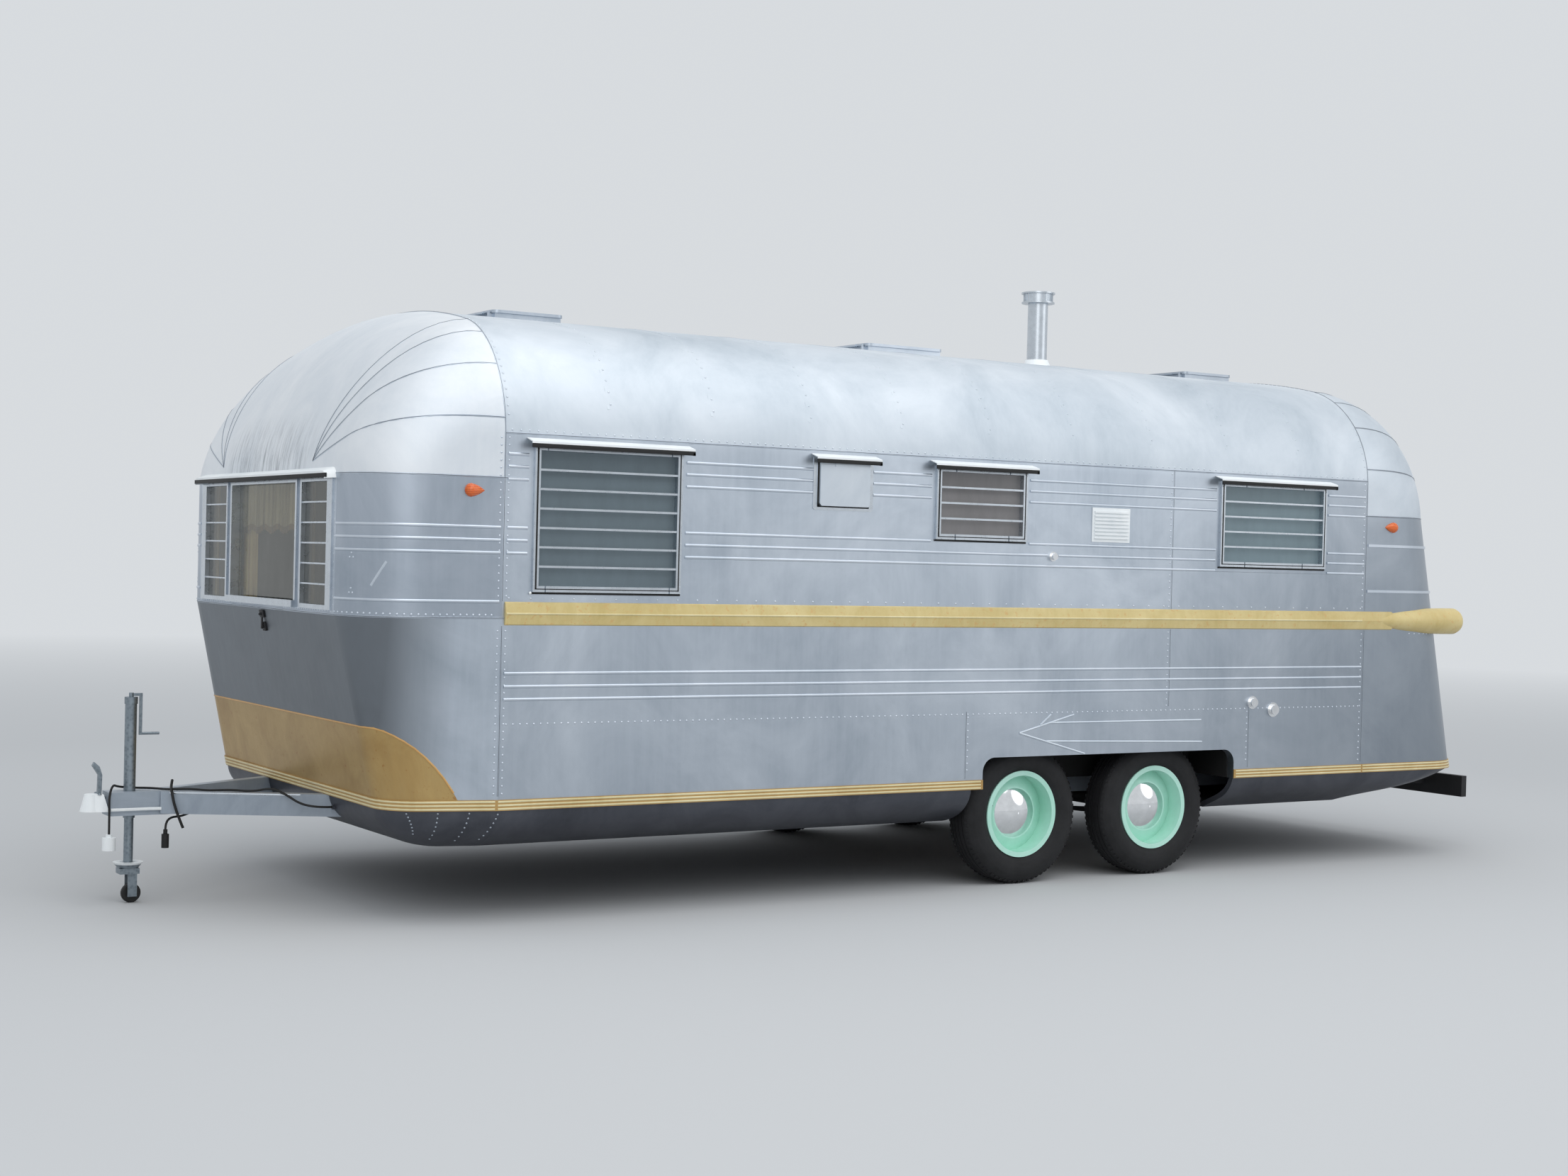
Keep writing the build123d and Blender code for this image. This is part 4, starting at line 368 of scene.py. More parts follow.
# The material of each slot, and the nodes that have another
finishes = {
    "skin": skin,
    "gold_paint": gold,
    "apron_paint": apron_gold,
    "belly_paint": belly_grey,
    "floor_board": floor_board,
    "frame_trim": trim,
    "window_glass": pane,
    "curtain_cloth": curtain,
    "frame_paint": chassis_grey,
    "black_paint": chassis_black,
    "zinc": galvanised,
    "white_paint": white,
    "chrome": chrome,
    "amber_lens": amber,
    "red_lens": red,
    "jack_rubber": black_rubber,
    "tyre_rubber": tyre_rubber,
    "rim_paint": mint,
    "cable_jacket": black_rubber,
    "plug_plastic": black_rubber,
    "white_plastic": white,
}
special = {
    "front_nose": skin_low,
    "front_band": skin_band_shaded,
    "wheel_boxes": well_black,
    "side_ribs": rib_trim,
    "roof": skin_sky_lit,
    "front_dome": dome_skin_sky_lit,
    "rear_dome": skin_sky_lit,
    "coupler": white,
    "visors": white,
    "hatch": skin_pale,
}
for part in frame["record"]["subparts"]:
    node = nodes[part["node"]]
    node.data.materials.clear()
    node.data.materials.append(special.get(part["node"], finishes[part["material_slot"]]))


def repaint(node, material, inside):
    """Another material on the faces of a node whose middles pass a test."""
    mesh = nodes[node].data
    mesh.materials.append(material)
    for polygon in mesh.polygons:
        if inside(polygon.center):
            polygon.material_index = len(mesh.materials) - 1


# The panes are one node: those in the front face are clearer
repaint("window_glass", front_pane, lambda at: at.x > front_face_x - 0.06)
repaint("window_glass", middle_pane, lambda at: -0.5 < at.x < 0.5)
repaint("window_glass", rear_pane, lambda at: at.x < -1.0)

# The lower gold stripe is browner between its beads
repaint("gold_stripes", foot_gold, lambda at: at.z < sill_z + 0.06)

# The chimney's cone and the rim of the jack's foot are white, and the coupler's handle is galvanised
leg_low, leg_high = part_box("jack_leg")
leg_x = (leg_low.x + leg_high.x) / 2
repaint("chimney", white, lambda at: at.z < crown_z + 0.11)
repaint("jack_leg", white, lambda at: hypot(at.x - leg_x, at.y) > 0.045 and at.z > leg_low.z + 0.02)
repaint("coupler", galvanised, lambda at: at.z > 0.500)


def placed(name, data):
    """New object in the scene."""
    made = bpy.data.objects.new(name, data)
    bpy.context.scene.collection.objects.link(made)
    return made


def piece(name, mesh, material, body="root"):
    """A finished mesh as an object that rides on a body."""
    made = placed(name, mesh)
    mesh.materials.append(material)
    mesh.shade_smooth()
    mesh.set_sharp_from_angle(angle=radians(38))
    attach(made, body)
    return made


class Joined:
    """Points and faces of many small forms, gathered into one mesh."""

    def __init__(self):
        self.points = []
        self.faces = []

    def add(self, points, faces):
        start = len(self.points)
        self.points += [tuple(point) for point in points]
        self.faces += [tuple(start + index for index in face) for face in faces]

    def block(self, centre, size, bevel=0.0, turn=None):
        """Box with chamfered edges, turned by a matrix about its own middle."""
        shape = bmesh.new()
        bmesh.ops.create_cube(shape, size=1.0)
        bmesh.ops.scale(shape, vec=size, verts=shape.verts)
        if bevel:
            bmesh.ops.bevel(shape, geom=shape.edges[:], offset=bevel, segments=2, profile=0.6, affect="EDGES")
        if turn is not None:
            bmesh.ops.transform(shape, matrix=turn, verts=shape.verts)
        bmesh.ops.translate(shape, vec=centre, verts=shape.verts)
        shape.verts.index_update()
        self.add(
            [vertex.co for vertex in shape.verts],
            [[vertex.index for vertex in face.verts] for face in shape.faces],
        )
        shape.free()

    def lathe(self, outline, centre, axis, steps, loop=False):
        """Outline of (radius, rise) pairs turned about an axis: a ring if it loops, or closed by discs."""
        axis = Vector(axis).normalized()
        first = axis.orthogonal().normalized()
        second = axis.cross(first)
        points = []
        for radius, rise in outline:
            for step in range(steps):
                angle = 2 * pi * step / steps
                around = first * cos(angle) + second * sin(angle)
                points.append(Vector(centre) + axis * rise + around * radius)
        faces = []
        rings = len(outline)
        for ring in range(rings if loop else rings - 1):
            for step in range(steps):
                after = (step + 1) % steps
                low = ring * steps
                high = (ring + 1) % rings * steps
                faces.append((low + step, low + after, high + after, high + step))
        if not loop:
            faces.append(tuple(reversed(range(steps))))
            faces.append(tuple(range((rings - 1) * steps, rings * steps)))
        self.add(points, faces)

    def piece(self, name, material, body="root", slot=None):
        return piece(name, mesh_of(name, self.points, self.faces), material, body)


def mesh_of(name, points, faces):
    mesh = bpy.data.meshes.new(name)
    mesh.from_pydata([tuple(point) for point in points], [], faces)
    mesh.update()
    return mesh


def tree_of(*names):
    """Search tree over the meshes of some nodes."""
    points, faces = [], []
    for name in names:
        mesh = nodes[name].data
        start = len(points)
        points += [vertex.co.copy() for vertex in mesh.vertices]
        faces += [[start + index for index in polygon.vertices] for polygon in mesh.polygons]
    return BVHTree.FromPolygons(points, faces)


# The body's outer skin, to lay seams and rivets on
skin_tree = tree_of(
    "roof", "wall_left", "wall_right", "front_dome", "rear_dome", "front_band", "front_nose", "front_apron",
    "rear_panel", "belly_pans",
)
stripe_tree = tree_of("gold_stripes")
far = 6.0
wall_near = 0.15


def on_skin(aim, direction, tree=skin_tree):
    """Point and normal of the outer skin, seen from outside towards a point."""
    line = Vector(direction).normalized()
    hit, normal = tree.ray_cast(Vector(aim) - line * far, line)[:2]
    if hit is None:
        return None
    return hit, (-normal if normal.dot(line) > 0 else normal)


def lay(aims, tree=skin_tree, near=far):
    """Skin points for a list of aims and directions, missing those that meet nothing near."""
    hits = []
    for aim, direction in aims:
        found = on_skin(aim, direction, tree)
        if found and (found[0] - Vector(aim)).length < near:
            hits.append(found)
    return hits


def runs(hits, gap=0.35):
    """The line of skin points, cut where an opening parts it."""
    parts = [hits[:1]]
    for before, after in zip(hits, hits[1:]):
        if (after[0] - before[0]).length > gap:
            parts.append([])
        parts[-1].append(after)
    return parts


round_strip = ((-0.5, -0.5), (-0.34, 0.62), (0.0, 1.0), (0.34, 0.62), (0.5, -0.5))
flat_strip = ((-0.5, -0.5), (-0.46, 0.9), (-0.4, 1.0), (0.4, 1.0), (0.46, 0.9), (0.5, -0.5))


def ridge(hits, width, height, shape=round_strip):
    """Points and faces of a raised strip along skin points."""
    points, faces = [], []
    count = len(shape)
    for index, (point, normal) in enumerate(hits):
        before = hits[max(index - 1, 0)][0]
        after = hits[min(index + 1, len(hits) - 1)][0]
        along = (after - before).normalized()
        side = along.cross(normal).normalized()
        points += [point + side * across * width + normal * rise * height for across, rise in shape]
    for index in range(len(hits) - 1):
        for step in range(count - 1):
            a = index * count + step
            faces.append((a, a + 1, a + count + 1, a + count))
    faces.append(tuple(range(count)))
    faces.append(tuple(reversed(range((len(hits) - 1) * count, len(hits) * count))))
    return points, faces


def ridges(name, lines, width, height, material, slot="skin", shape=round_strip, body="root"):
    """One mesh of strips along several lines of skin points."""
    joined = Joined()
    for hits in lines:
        for part in runs(hits):
            if len(part) > 1:
                joined.add(*ridge(part, width, height, shape))
    return joined.piece(name, material, body, slot)


def rivets(name, hits, radius, height, material, body="root"):
    """One mesh of low domes at skin points."""
    segments = 8
    rings = ((1.0, -0.15), (0.86, 0.45), (0.5, 0.88))
    points, faces = [], []
    for point, normal in hits:
        first = normal.orthogonal().normalized()
        second = normal.cross(first)
        start = len(points)
        for spread, rise in rings:
            for step in range(segments):
                angle = 2 * pi * step / segments
                around = first * cos(angle) + second * sin(angle)
                points.append(point + around * radius * spread + normal * height * rise)
        points.append(point + normal * height)
        for ring in range(len(rings) - 1):
            for step in range(segments):
                a = start + ring * segments + step
                b = start + ring * segments + (step + 1) % segments
                faces.append((a, b, b + segments, a + segments))
        last = start + (len(rings) - 1) * segments
        for step in range(segments):
            faces.append((last + step, last + (step + 1) % segments, start + len(rings) * segments))
    return piece(name, mesh_of(name, points, faces), material, body)


def spaced(start, end, pitch):
    """Even steps from start to end, near the pitch."""
    count = max(2, round(abs(end - start) / pitch) + 1)
    return [start + (end - start) * step / (count - 1) for step in range(count)]


def between(start, end, pitch):
    """Places from one to another, a share of the way apart."""
    return [tuple(a + (b - a) * share for a, b in zip(start, end)) for share in spaced(0.0, 1.0, pitch)]


def on_wall(places, sign, tree=skin_tree, near=wall_near):
    """Skin points of a side wall at places given as x and z."""
    return lay([((x, sign * half_width, z), (0, -sign, 0)) for x, z in places], tree, near)


def along_wall(z, x_start, x_end, sign, pitch, tree=skin_tree):
    return on_wall([(x, z) for x in spaced(x_start, x_end, pitch)], sign, tree)


def up_wall(x, z_start, z_end, sign, pitch):
    return on_wall([(x, z) for z in spaced(z_start, z_end, pitch)], sign)


def up_face(y, z_start, z_end, pitch):
    return lay([((0, y, z), (-1, 0, 0)) for z in spaced(z_start, z_end, pitch)])


# Middles and reach of the fans of lines that meet the ends, the roof and the domes
end_inset = 0.35
end_reach = 1.3
roof_fan_z = 1.6
roof_reach = 1.15
dome_reach = 0.5
gore_pitch = 0.05


def round_end(end, z, low, high, pitch, tree=skin_tree):
    """Skin points round an end at one height, fanned in degrees about a point inside it."""
    seam = front_seam_x if end > 0 else rear_seam_x
    centre = (seam - end * end_inset, 0, z)
    angles = spaced(radians(low), radians(high), pitch / end_reach)
    return lay([(centre, (-end * cos(angle), -sin(angle), 0)) for angle in angles], tree)


def over_roof(x, low, high, pitch):
    """Skin points over the roof at one station, fanned in degrees about a point below it."""
    angles = spaced(radians(low), radians(high), pitch / roof_reach)
    return lay([((x, 0, roof_fan_z), (0, -cos(angle), -sin(angle))) for angle in angles])


def gore(end, foot, top):
    """Line over a dome from its face back to its seam, in a plane along the body."""
    seam = front_seam_x if end > 0 else rear_seam_x
    centre = Vector((seam, *foot))
    rise = (Vector((seam, *top)) - centre).normalized()
    angles = spaced(0.0, radians(90), gore_pitch / dome_reach)
    return lay([(centre, -(Vector((end, 0, 0)) * cos(a) + rise * sin(a))) for a in angles])


# Rivets along the seams
rivet_pitch = 0.032
rivet_r = 0.0050
rivet_rise = 0.0026
mid_seam_z = 0.8455
joint_x = -1.295
arch_front_x = -0.03
arch_rear_x = -1.84
stripe_low_z = 1.255
stripe_high_z = 1.36
corner_strip_y = 0.883
seam_gap = 0.018
lap_gap = 0.014
row_front_x = front_seam_x - 0.03
row_rear_x = rear_seam_x + 0.03
row_top_z = 2.04
# Rows on the belly pan: foot x, z and top x, z
belly_rows = (
    ((2.713, 0.385), (2.760, 0.475)),
    ((2.636, 0.360), (2.640, 0.475)),
    ((2.528, 0.350), (2.515, 0.475)),
    ((2.434, 0.355), (2.400, 0.470)),
)
# Rows beside the joint and the arch: foot z, top z
joint_rows = ((0.87, 1.24), (1.37, row_top_z))
arch_row = (0.58, 0.83)
# Rows on the corner strips: distance from their middle, foot z
corner_rows = ((-0.010, 1.310), (0.010, 1.328))
corner_top_z = 1.860
corner_pitch = 0.036
# Two groups of three beside the front windows
group_x, group_y = 2.995, 1.027
group_heights = (1.391, 1.536)
group_form = ((0.0, 0.010), (-0.011, -0.008), (0.011, -0.008))
rivet_hits = []
belly_hits = []
for sign in signs:
    rivet_hits += along_wall(mid_seam_z, row_front_x, row_rear_x, sign, rivet_pitch)
    for x in (front_seam_x - seam_gap, front_seam_x + seam_gap, rear_seam_x + seam_gap):
        rivet_hits += up_wall(x, sill_z + 0.07, stripe_low_z - 0.02, sign, rivet_pitch)
        rivet_hits += up_wall(x, stripe_high_z + 0.02, row_top_z, sign, rivet_pitch)
    for foot_z, top_z in joint_rows:
        rivet_hits += up_wall(joint_x + lap_gap, foot_z, top_z, sign, rivet_pitch)
    rivet_hits += along_wall(drip_z + lap_gap, row_front_x, row_rear_x, sign, 0.04)
    rivet_hits += along_wall(stripe_high_z + 0.012, row_front_x, row_rear_x, sign, 0.10)
    for x in (arch_front_x, arch_rear_x):
        rivet_hits += up_wall(x, *arch_row, sign, rivet_pitch)
    for foot, top in belly_rows:
        belly_hits += on_wall(between(foot, top, 0.17), sign, near=far)
    for aside, foot_z in corner_rows:
        rivet_hits += up_face(sign * (corner_strip_y + aside), foot_z, corner_top_z, corner_pitch)
    for group_z in group_heights:
        for out_y, up_z in group_form:
            aim = (group_x, sign * (group_y + out_y), group_z + up_z)
            rivet_hits += lay([(aim, (-0.9, -sign * 0.4, 0))])
belt_hits = []
for low, high in ((-72, -17), (17, 72)):
    belt_hits += round_end(1, belt_z + 0.012, low, high, 0.026)
rivets("belt_rivets", belt_hits, 0.0055, 0.003, rib_trim)
rivets("belly_rivets", belly_hits, 0.0045, 0.0026, skin)
rivet_hits += round_end(-1, belt_z - 0.05, -60, 60, rivet_pitch)
for x in (front_seam_x - 0.016, rear_seam_x + 0.016):
    rivet_hits += over_roof(x, 24, 156, rivet_pitch)
roof_stations = spaced(front_seam_x - 0.5, rear_seam_x + 0.5, 0.52)
for x in roof_stations:
    rivet_hits += over_roof(x, 27, 153, 0.05)
rivets("body_rivets", rivet_hits, rivet_r, rivet_rise, rib_trim)

# Seams: lapped sheet edges, each with its dark line. Feet and tops of the gores are y, z
gore_foot = (0.60, 1.93)
gore_tops = ((1.229, 2.129), (1.123, 2.359), (0.964, 2.503), (0.806, 2.568))
rear_gore_foot = (0.55, 1.95)
seam_width = 0.011
seam_rise = 0.0022
lap_over = 0.012
seam_lines = []
for sign in signs:
    seam_lines.append(along_wall(drip_z, front_seam_x, rear_seam_x, sign, 0.2))
    for x, foot_z in ((front_seam_x, sill_z + 0.06), (rear_seam_x, sill_z + 0.06), (joint_x, sill_z + 0.38)):
        for low_z, top_z in ((foot_z, stripe_low_z), (stripe_high_z, drip_z)):
            seam_lines.append(up_wall(x, low_z, top_z, sign, 0.1))
    for x in (arch_front_x + lap_over, arch_rear_x - lap_over):
        seam_lines.append(up_wall(x, 0.54, mid_seam_z + lap_over, sign, 0.1))
    for y, z in gore_tops:
        for end, (foot_y, foot_z) in ((1, gore_foot), (-1, rear_gore_foot)):
            seam_lines.append(gore(end, (sign * foot_y, foot_z), (sign * y, z)))
seam_lines += [over_roof(x, 20, 160, 0.06) for x in (front_seam_x, rear_seam_x)]
end_seams = ((1, cap_z, -78, -40), (1, cap_z, 40, 78), (1, belt_z, -78, 78), (-1, cap_z, -78, 78))
seam_lines += [round_end(end, z, low, high, 0.05) for end, z, low, high in end_seams]
roof_laps = [over_roof(x + lap_over, 26, 154, 0.08) for x in roof_stations]
ridges("roof_laps", roof_laps, 0.012, 0.0012, skin_sky_lit, shape=flat_strip)
ridges("body_seams", seam_lines, seam_width, seam_rise, skin)
ridges("seam_shadows", seam_lines, 0.0036, 0.0030, seam_shade)

# The same lap across the door, and rivets round its edge
door_low, door_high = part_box("door")
handle_clear = 0.03
door_in = 0.02
across = spaced(door_low.x + handle_clear, door_high.x - handle_clear, 0.07)
upwards = spaced(door_low.z + 0.05, door_high.z - 0.05, 0.07)
door_hits = [(x, z) for x in across for z in (door_low.z + door_in, door_high.z - door_in)]
door_hits += [(x, z) for z in upwards for x in (door_low.x + door_in, door_high.x - door_in)]
door_tree = tree_of("door")
rivets("door_rivets", on_wall(door_hits, -1, door_tree), rivet_r, rivet_rise, rib_trim, body="door")
door_lap = along_wall(mid_seam_z + lap_over, door_low.x + 0.055, door_high.x - 0.07, -1, 0.1, door_tree)
ridges("door_lap", [door_lap], seam_width, seam_rise, skin, body="door")

# Pressed arrow over the wheel arch: pairs of x, z
arrow_tip = (-0.341, 0.750)
arrow = (
    (arrow_tip, (-0.678, 0.834)),
    ((-0.470, 0.786), (-0.535, 0.837)),
    (arrow_tip, (-0.752, 0.640)),
    ((-0.526, 0.797), (-1.519, 0.793)),
    ((-0.508, 0.707), (-1.528, 0.681)),
)
arrow_lines = [on_wall(between(start, end, 0.25), sign, near=far) for sign in signs for start, end in arrow]
ridges("arch_arrows", arrow_lines, 0.012, 0.0045, skin_pale)

# Riveted strips beside the front windows, and a scratch on the left corner
strip_low_z = 1.294
strip_top_z = 1.870
strip_lines = [up_face(sign * corner_strip_y, strip_low_z, strip_top_z, 0.1) for sign in (-1, 1)]
ridges("corner_strips", strip_lines, 0.052, 0.0014, skin, shape=flat_strip)
scratch_aims = [
    (2.941 - 0.048 * share, 1.113 + 0.044 * share, 1.414 + 0.100 * share) for share in spaced(0, 1, 0.2)
]
ridges("corner_scratch", [lay([(aim, (-0.8, -0.6, 0)) for aim in scratch_aims])], 0.012, 0.0008, rib_trim)


# Beads: along the apron's edge, on the mid stripe and round the lower stripe; the stripe beads' lighter gold
# is a painted highlight on their ridges
apron_low, apron_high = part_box("front_apron")
apron_tree = tree_of("front_apron")
apron_pivot_x = front_seam_x - 0.05
apron_halvings = 12
apron_turn = radians(81)
apron_step = 0.035


def apron_edge(angle):
    """Skin point on the apron's upper edge, seen from one direction."""
    low_z, high_z = apron_low.z + 0.004, apron_high.z
    line = (-cos(angle), -sin(angle), 0)
    edge = None
    for step in range(apron_halvings):
        mid_z = (low_z + high_z) / 2
        found = on_skin((apron_pivot_x, 0, mid_z), line, apron_tree)
        if found:
            edge = found
            low_z = mid_z
        else:
            high_z = mid_z
    return edge


edges = [apron_edge(angle) for angle in spaced(-apron_turn, apron_turn, apron_step)]
ridges("apron_beads", [[edge for edge in edges if edge]], 0.010, 0.0035, apron_edge_gold, "apron_paint")
low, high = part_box("door_stripe")
stripe_mid_z = (low.z + high.z) / 2
pod_front_x = rear_seam_x - 0.13
bead_front_x = front_seam_x - 0.015
bead_rear_x = pod_front_x + 0.16
stripe_beads = [along_wall(stripe_mid_z, bead_front_x, bead_rear_x, sign, 0.2, stripe_tree) for sign in signs]
ridges("stripe_beads", stripe_beads, 0.009, 0.003, gold_bead_highlight, "gold_paint")
foot_beads = []
foot_heights = (0.4935, 0.5085, 0.5235)
foot_turn = 73.5
for z in foot_heights:
    for sign in signs:
        foot_beads.append(along_wall(z, front_seam_x, rear_seam_x, sign, 0.02, stripe_tree))
    for end in (1, -1):
        foot_beads.append(round_end(end, z, -foot_turn, foot_turn, 0.04, stripe_tree))
ridges("foot_beads", foot_beads, 0.0095, 0.0028, gold_bead_highlight, "gold_paint")

# Tyres: sidewall rings, ribbed tread and shoulder lugs
wheel_axle = {}
for corner in corners:
    low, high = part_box("tyre_" + corner)
    wheel_axle[corner] = (low + high) / 2
tyre_r = (high.z - low.z) / 2
tyre_half = (high.y - low.y) / 2
rim_low, rim_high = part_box("rim_front_left")
rim_flange_r = (rim_high.z - rim_low.z) / 2
rim_half = (rim_high.y - rim_low.y) / 2
bead_half = rim_half - 0.0073
seat_r = rim_flange_r - 0.018
bulge_r = 0.268
tread_half = 0.058
crown_rise = 0.006
tread_edge_r = tyre_r - crown_rise
ring_rise = 0.0012
sidewall_rings = ((0.232, 0.240), (0.292, 0.297))
groove_offsets = (0.041, 0.014, -0.014, -0.041)
groove_form = ((0.0035, 0.0), (0.0025, 0.006), (-0.0025, 0.006), (-0.0035, 0.0))
tyre_steps = 96
wall_steps = 22
lug_count = 72
lug_size = (0.012, 0.014, 0.013)
lug_depth = 0.012
lug_offset = 0.062
lug_turn = radians(38)


def bend(start, middle, end, steps):
    """Points of the arc through three points in a plane, without its last."""
    (x0, y0), (x1, y1), (x2, y2) = start, middle, end
    d = 2 * (x0 * (y1 - y2) + x1 * (y2 - y0) + x2 * (y0 - y1))
    a = x0 * x0 + y0 * y0
    b = x1 * x1 + y1 * y1
    c = x2 * x2 + y2 * y2
    cx = (a * (y1 - y2) + b * (y2 - y0) + c * (y0 - y1)) / d
    cy = (a * (x2 - x1) + b * (x0 - x2) + c * (x1 - x0)) / d
    radius = hypot(x0 - cx, y0 - cy)
    first = atan2(y0 - cy, x0 - cx)
    last = atan2(y2 - cy, x2 - cx)
    turn = (last - first + pi) % (2 * pi) - pi
    return [
        (cx + radius * cos(first + turn * step / steps), cy + radius * sin(first + turn * step / steps))
        for step in range(steps)
    ]


def tyre_outline():
    """Closed section as (radius, offset), from the inner bead over the tread to the outer bead."""
    flange, bulge, edge = (rim_flange_r, bead_half), (bulge_r, tyre_half), (tread_edge_r, tread_half)
    wall_points = bend(flange, bulge, edge, wall_steps)
    ringed = []
    for radius, offset in wall_points:
        raised = ring_rise if any(inner < radius < outer for inner, outer in sidewall_rings) else 0.0
        ringed.append((radius, offset + raised))
    tread = [edge]
    for offset in groove_offsets:
        crown = tyre_r - crown_rise * (offset / tread_half) ** 2
        for across, drop in groove_form:
            tread.append((crown - drop, offset + across))
    tread.append((tread_edge_r, -tread_half))
    inner = [(radius, -offset) for radius, offset in reversed(ringed[1:])]
    return [(seat_r, bead_half), *ringed, *tread, *inner, (rim_flange_r, -bead_half), (seat_r, -bead_half)]


def tyre(corner):
    """Tyre form of one wheel, in the place of its CAD tyre."""
    centre = wheel_axle[corner]
    ring = Joined()
    ring.lathe(tyre_outline(), centre, (0, 1, 0), tyre_steps, loop=True)
    for side in (-1, 1):
        for step in range(lug_count):
            angle = 2 * pi * step / lug_count
            spoke = Vector((cos(angle), 0, sin(angle)))
            turn = Matrix.Rotation(-angle, 4, "Y") @ Matrix.Rotation(side * lug_turn, 4, "Z")
            place = centre + spoke * (tyre_r - lug_depth) + Vector((0, side * lug_offset, 0))
            ring.block(place, lug_size, turn=turn)
    made = ring.piece("tyre_form_" + corner, tyre_rubber, "wheel_" + corner, "tyre_rubber")
    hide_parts("tyre_" + corner)


for corner in corners:
    tyre(corner)

# Valves
valve_outline = ((0.004, -0.05), (0.004, 0.0), (0.0055, 0.0), (0.0055, 0.016), (0.004, 0.019))
for corner in corners:
    sign = 1 if wheel_axle[corner].y > 0 else -1
    valve = Joined()
    valve_at = wheel_axle[corner] + Vector((0.165, sign * 0.035, 0.045))
    valve.lathe(valve_outline, valve_at, (0, sign, 0), 12)
    valve.piece("valve_" + corner, black_rubber, "wheel_" + corner, "tyre_rubber")

# Black rubber under the visors, part gasket and part the visor's painted shadow, and black lines round the
# window frames: front x, rear x, low z, top z
side_openings = (
    (2.273, 1.563, 1.399, 2.020),
    (0.195, -0.345, 1.674, 2.020),
    (-1.610, -2.368, 1.580, 2.020),
)
frame_face = 0.014
groove_in = 0.013
line_short = 0.022
rubber_thick = 0.006
screw_in = 0.0055
screw_ends = 0.03
screw_pitch = 0.22
rubber_and_shadow_lines = Joined()
screws = []
visor_lip_y = half_width + 0.0535
visor_lip_z = drip_z - 0.042
visor_over = 0.035


def under_visor(front_x, rear_x, sign):
    """Black rubber along the lower edge of a side visor, hooked down at its rear end; deep enough to be the
    visor's painted shadow too.
    """
    mid = ((front_x + rear_x) / 2, sign * visor_lip_y, visor_lip_z - 0.007)
    rubber_and_shadow_lines.block(mid, (front_x - rear_x + 2 * visor_over, rubber_thick, 0.018), 0.001)
    hook = (rear_x - visor_over + 0.006, sign * visor_lip_y, visor_lip_z - 0.010)
    rubber_and_shadow_lines.block(hook, (0.014, rubber_thick, 0.014), 0.002)


for sign in signs:
    wall_y = sign * half_width
    for front_x, rear_x, low_z, top_z in side_openings:
        mid_x, mid_z = (front_x + rear_x) / 2, (low_z + top_z) / 2
        width, height = front_x - rear_x, top_z - low_z
        under_visor(front_x, rear_x, sign)
        sill_at = (mid_x, wall_y + sign * 0.003, low_z - 0.0045)
        rubber_and_shadow_lines.block(sill_at, (width + 0.004, 0.005, 0.009), 0.001)
        line_y = wall_y + sign * (frame_face - 0.002)
        for x, thick in ((front_x - groove_in, 0.0075), (rear_x + groove_in, 0.0050)):
            rubber_and_shadow_lines.block((x, line_y, mid_z), (thick, rubber_thick, height - line_short))
        for z in (low_z + groove_in, top_z - groove_in):
            rubber_and_shadow_lines.block((mid_x, line_y, z), (width - line_short, rubber_thick, 0.0042))
        out = Vector((0, sign, 0))
        face_y = wall_y + sign * frame_face
        for x in spaced(front_x - screw_ends, rear_x + screw_ends, screw_pitch):
            screws.append((Vector((x, face_y, low_z + screw_in)), out))
        for z in spaced(low_z + screw_ends, top_z - screw_ends, screw_pitch):
            for x in (front_x - screw_in, rear_x + screw_in):
                screws.append((Vector((x, face_y, z)), out))
hatch_visor = (0.859, 0.575)
under_visor(*hatch_visor, 1)
front_rubber = (0.007, 1.780, 0.018)
rubber_and_shadow_lines.block((front_face_x + 0.041, 0, cap_z - 0.009), front_rubber, 0.001)
rubber_and_shadow_lines.piece("window_rubbers_and_visor_shadows", black_rubber)
rivets("window_screws", screws, 0.0030, 0.0012, trim)
plug_outline = ((0.001, -0.0065), (0.005, -0.004), (0.0065, 0.0), (0.005, 0.004), (0.001, 0.0065))
plug_x = side_openings[0][0] + 0.008
plug_z = side_openings[0][2] - 0.004
drain = Joined()
for sign in signs:
    drain.lathe(plug_outline, (plug_x, sign * (half_width + 0.0065), plug_z), (0, 0, 1), 16)
drain.piece("drain_plugs", white)

# Rubber round the hatch, part gasket and part painted shadow in the gap round it
hatch_low, hatch_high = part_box("hatch")
hatch_mid = (hatch_low + hatch_high) / 2
hatch_out = 0.003
hatch_half = Vector((
    (hatch_high.x - hatch_low.x) / 2 + hatch_out, 0, (hatch_high.z - hatch_low.z) / 2 + hatch_out
))
hatch_round = 0.028
hatch_steps = 32
ring_hits = []
for turn in range(hatch_steps + 1):
    angle = 2 * pi * turn / hatch_steps
    cx = hatch_half.x - hatch_round
    cz = hatch_half.z - hatch_round
    x = hatch_mid.x + (cx if cos(angle) > 0 else -cx) + hatch_round * cos(angle)
    z = hatch_mid.z + (cz if sin(angle) > 0 else -cz) + hatch_round * sin(angle)
    ring_hits.append((Vector((x, half_width, z)), Vector((0, 1, 0))))
ridges("hatch_rubber_and_shadow", [ring_hits], 0.009, 0.006, black_rubber, "jack_rubber")

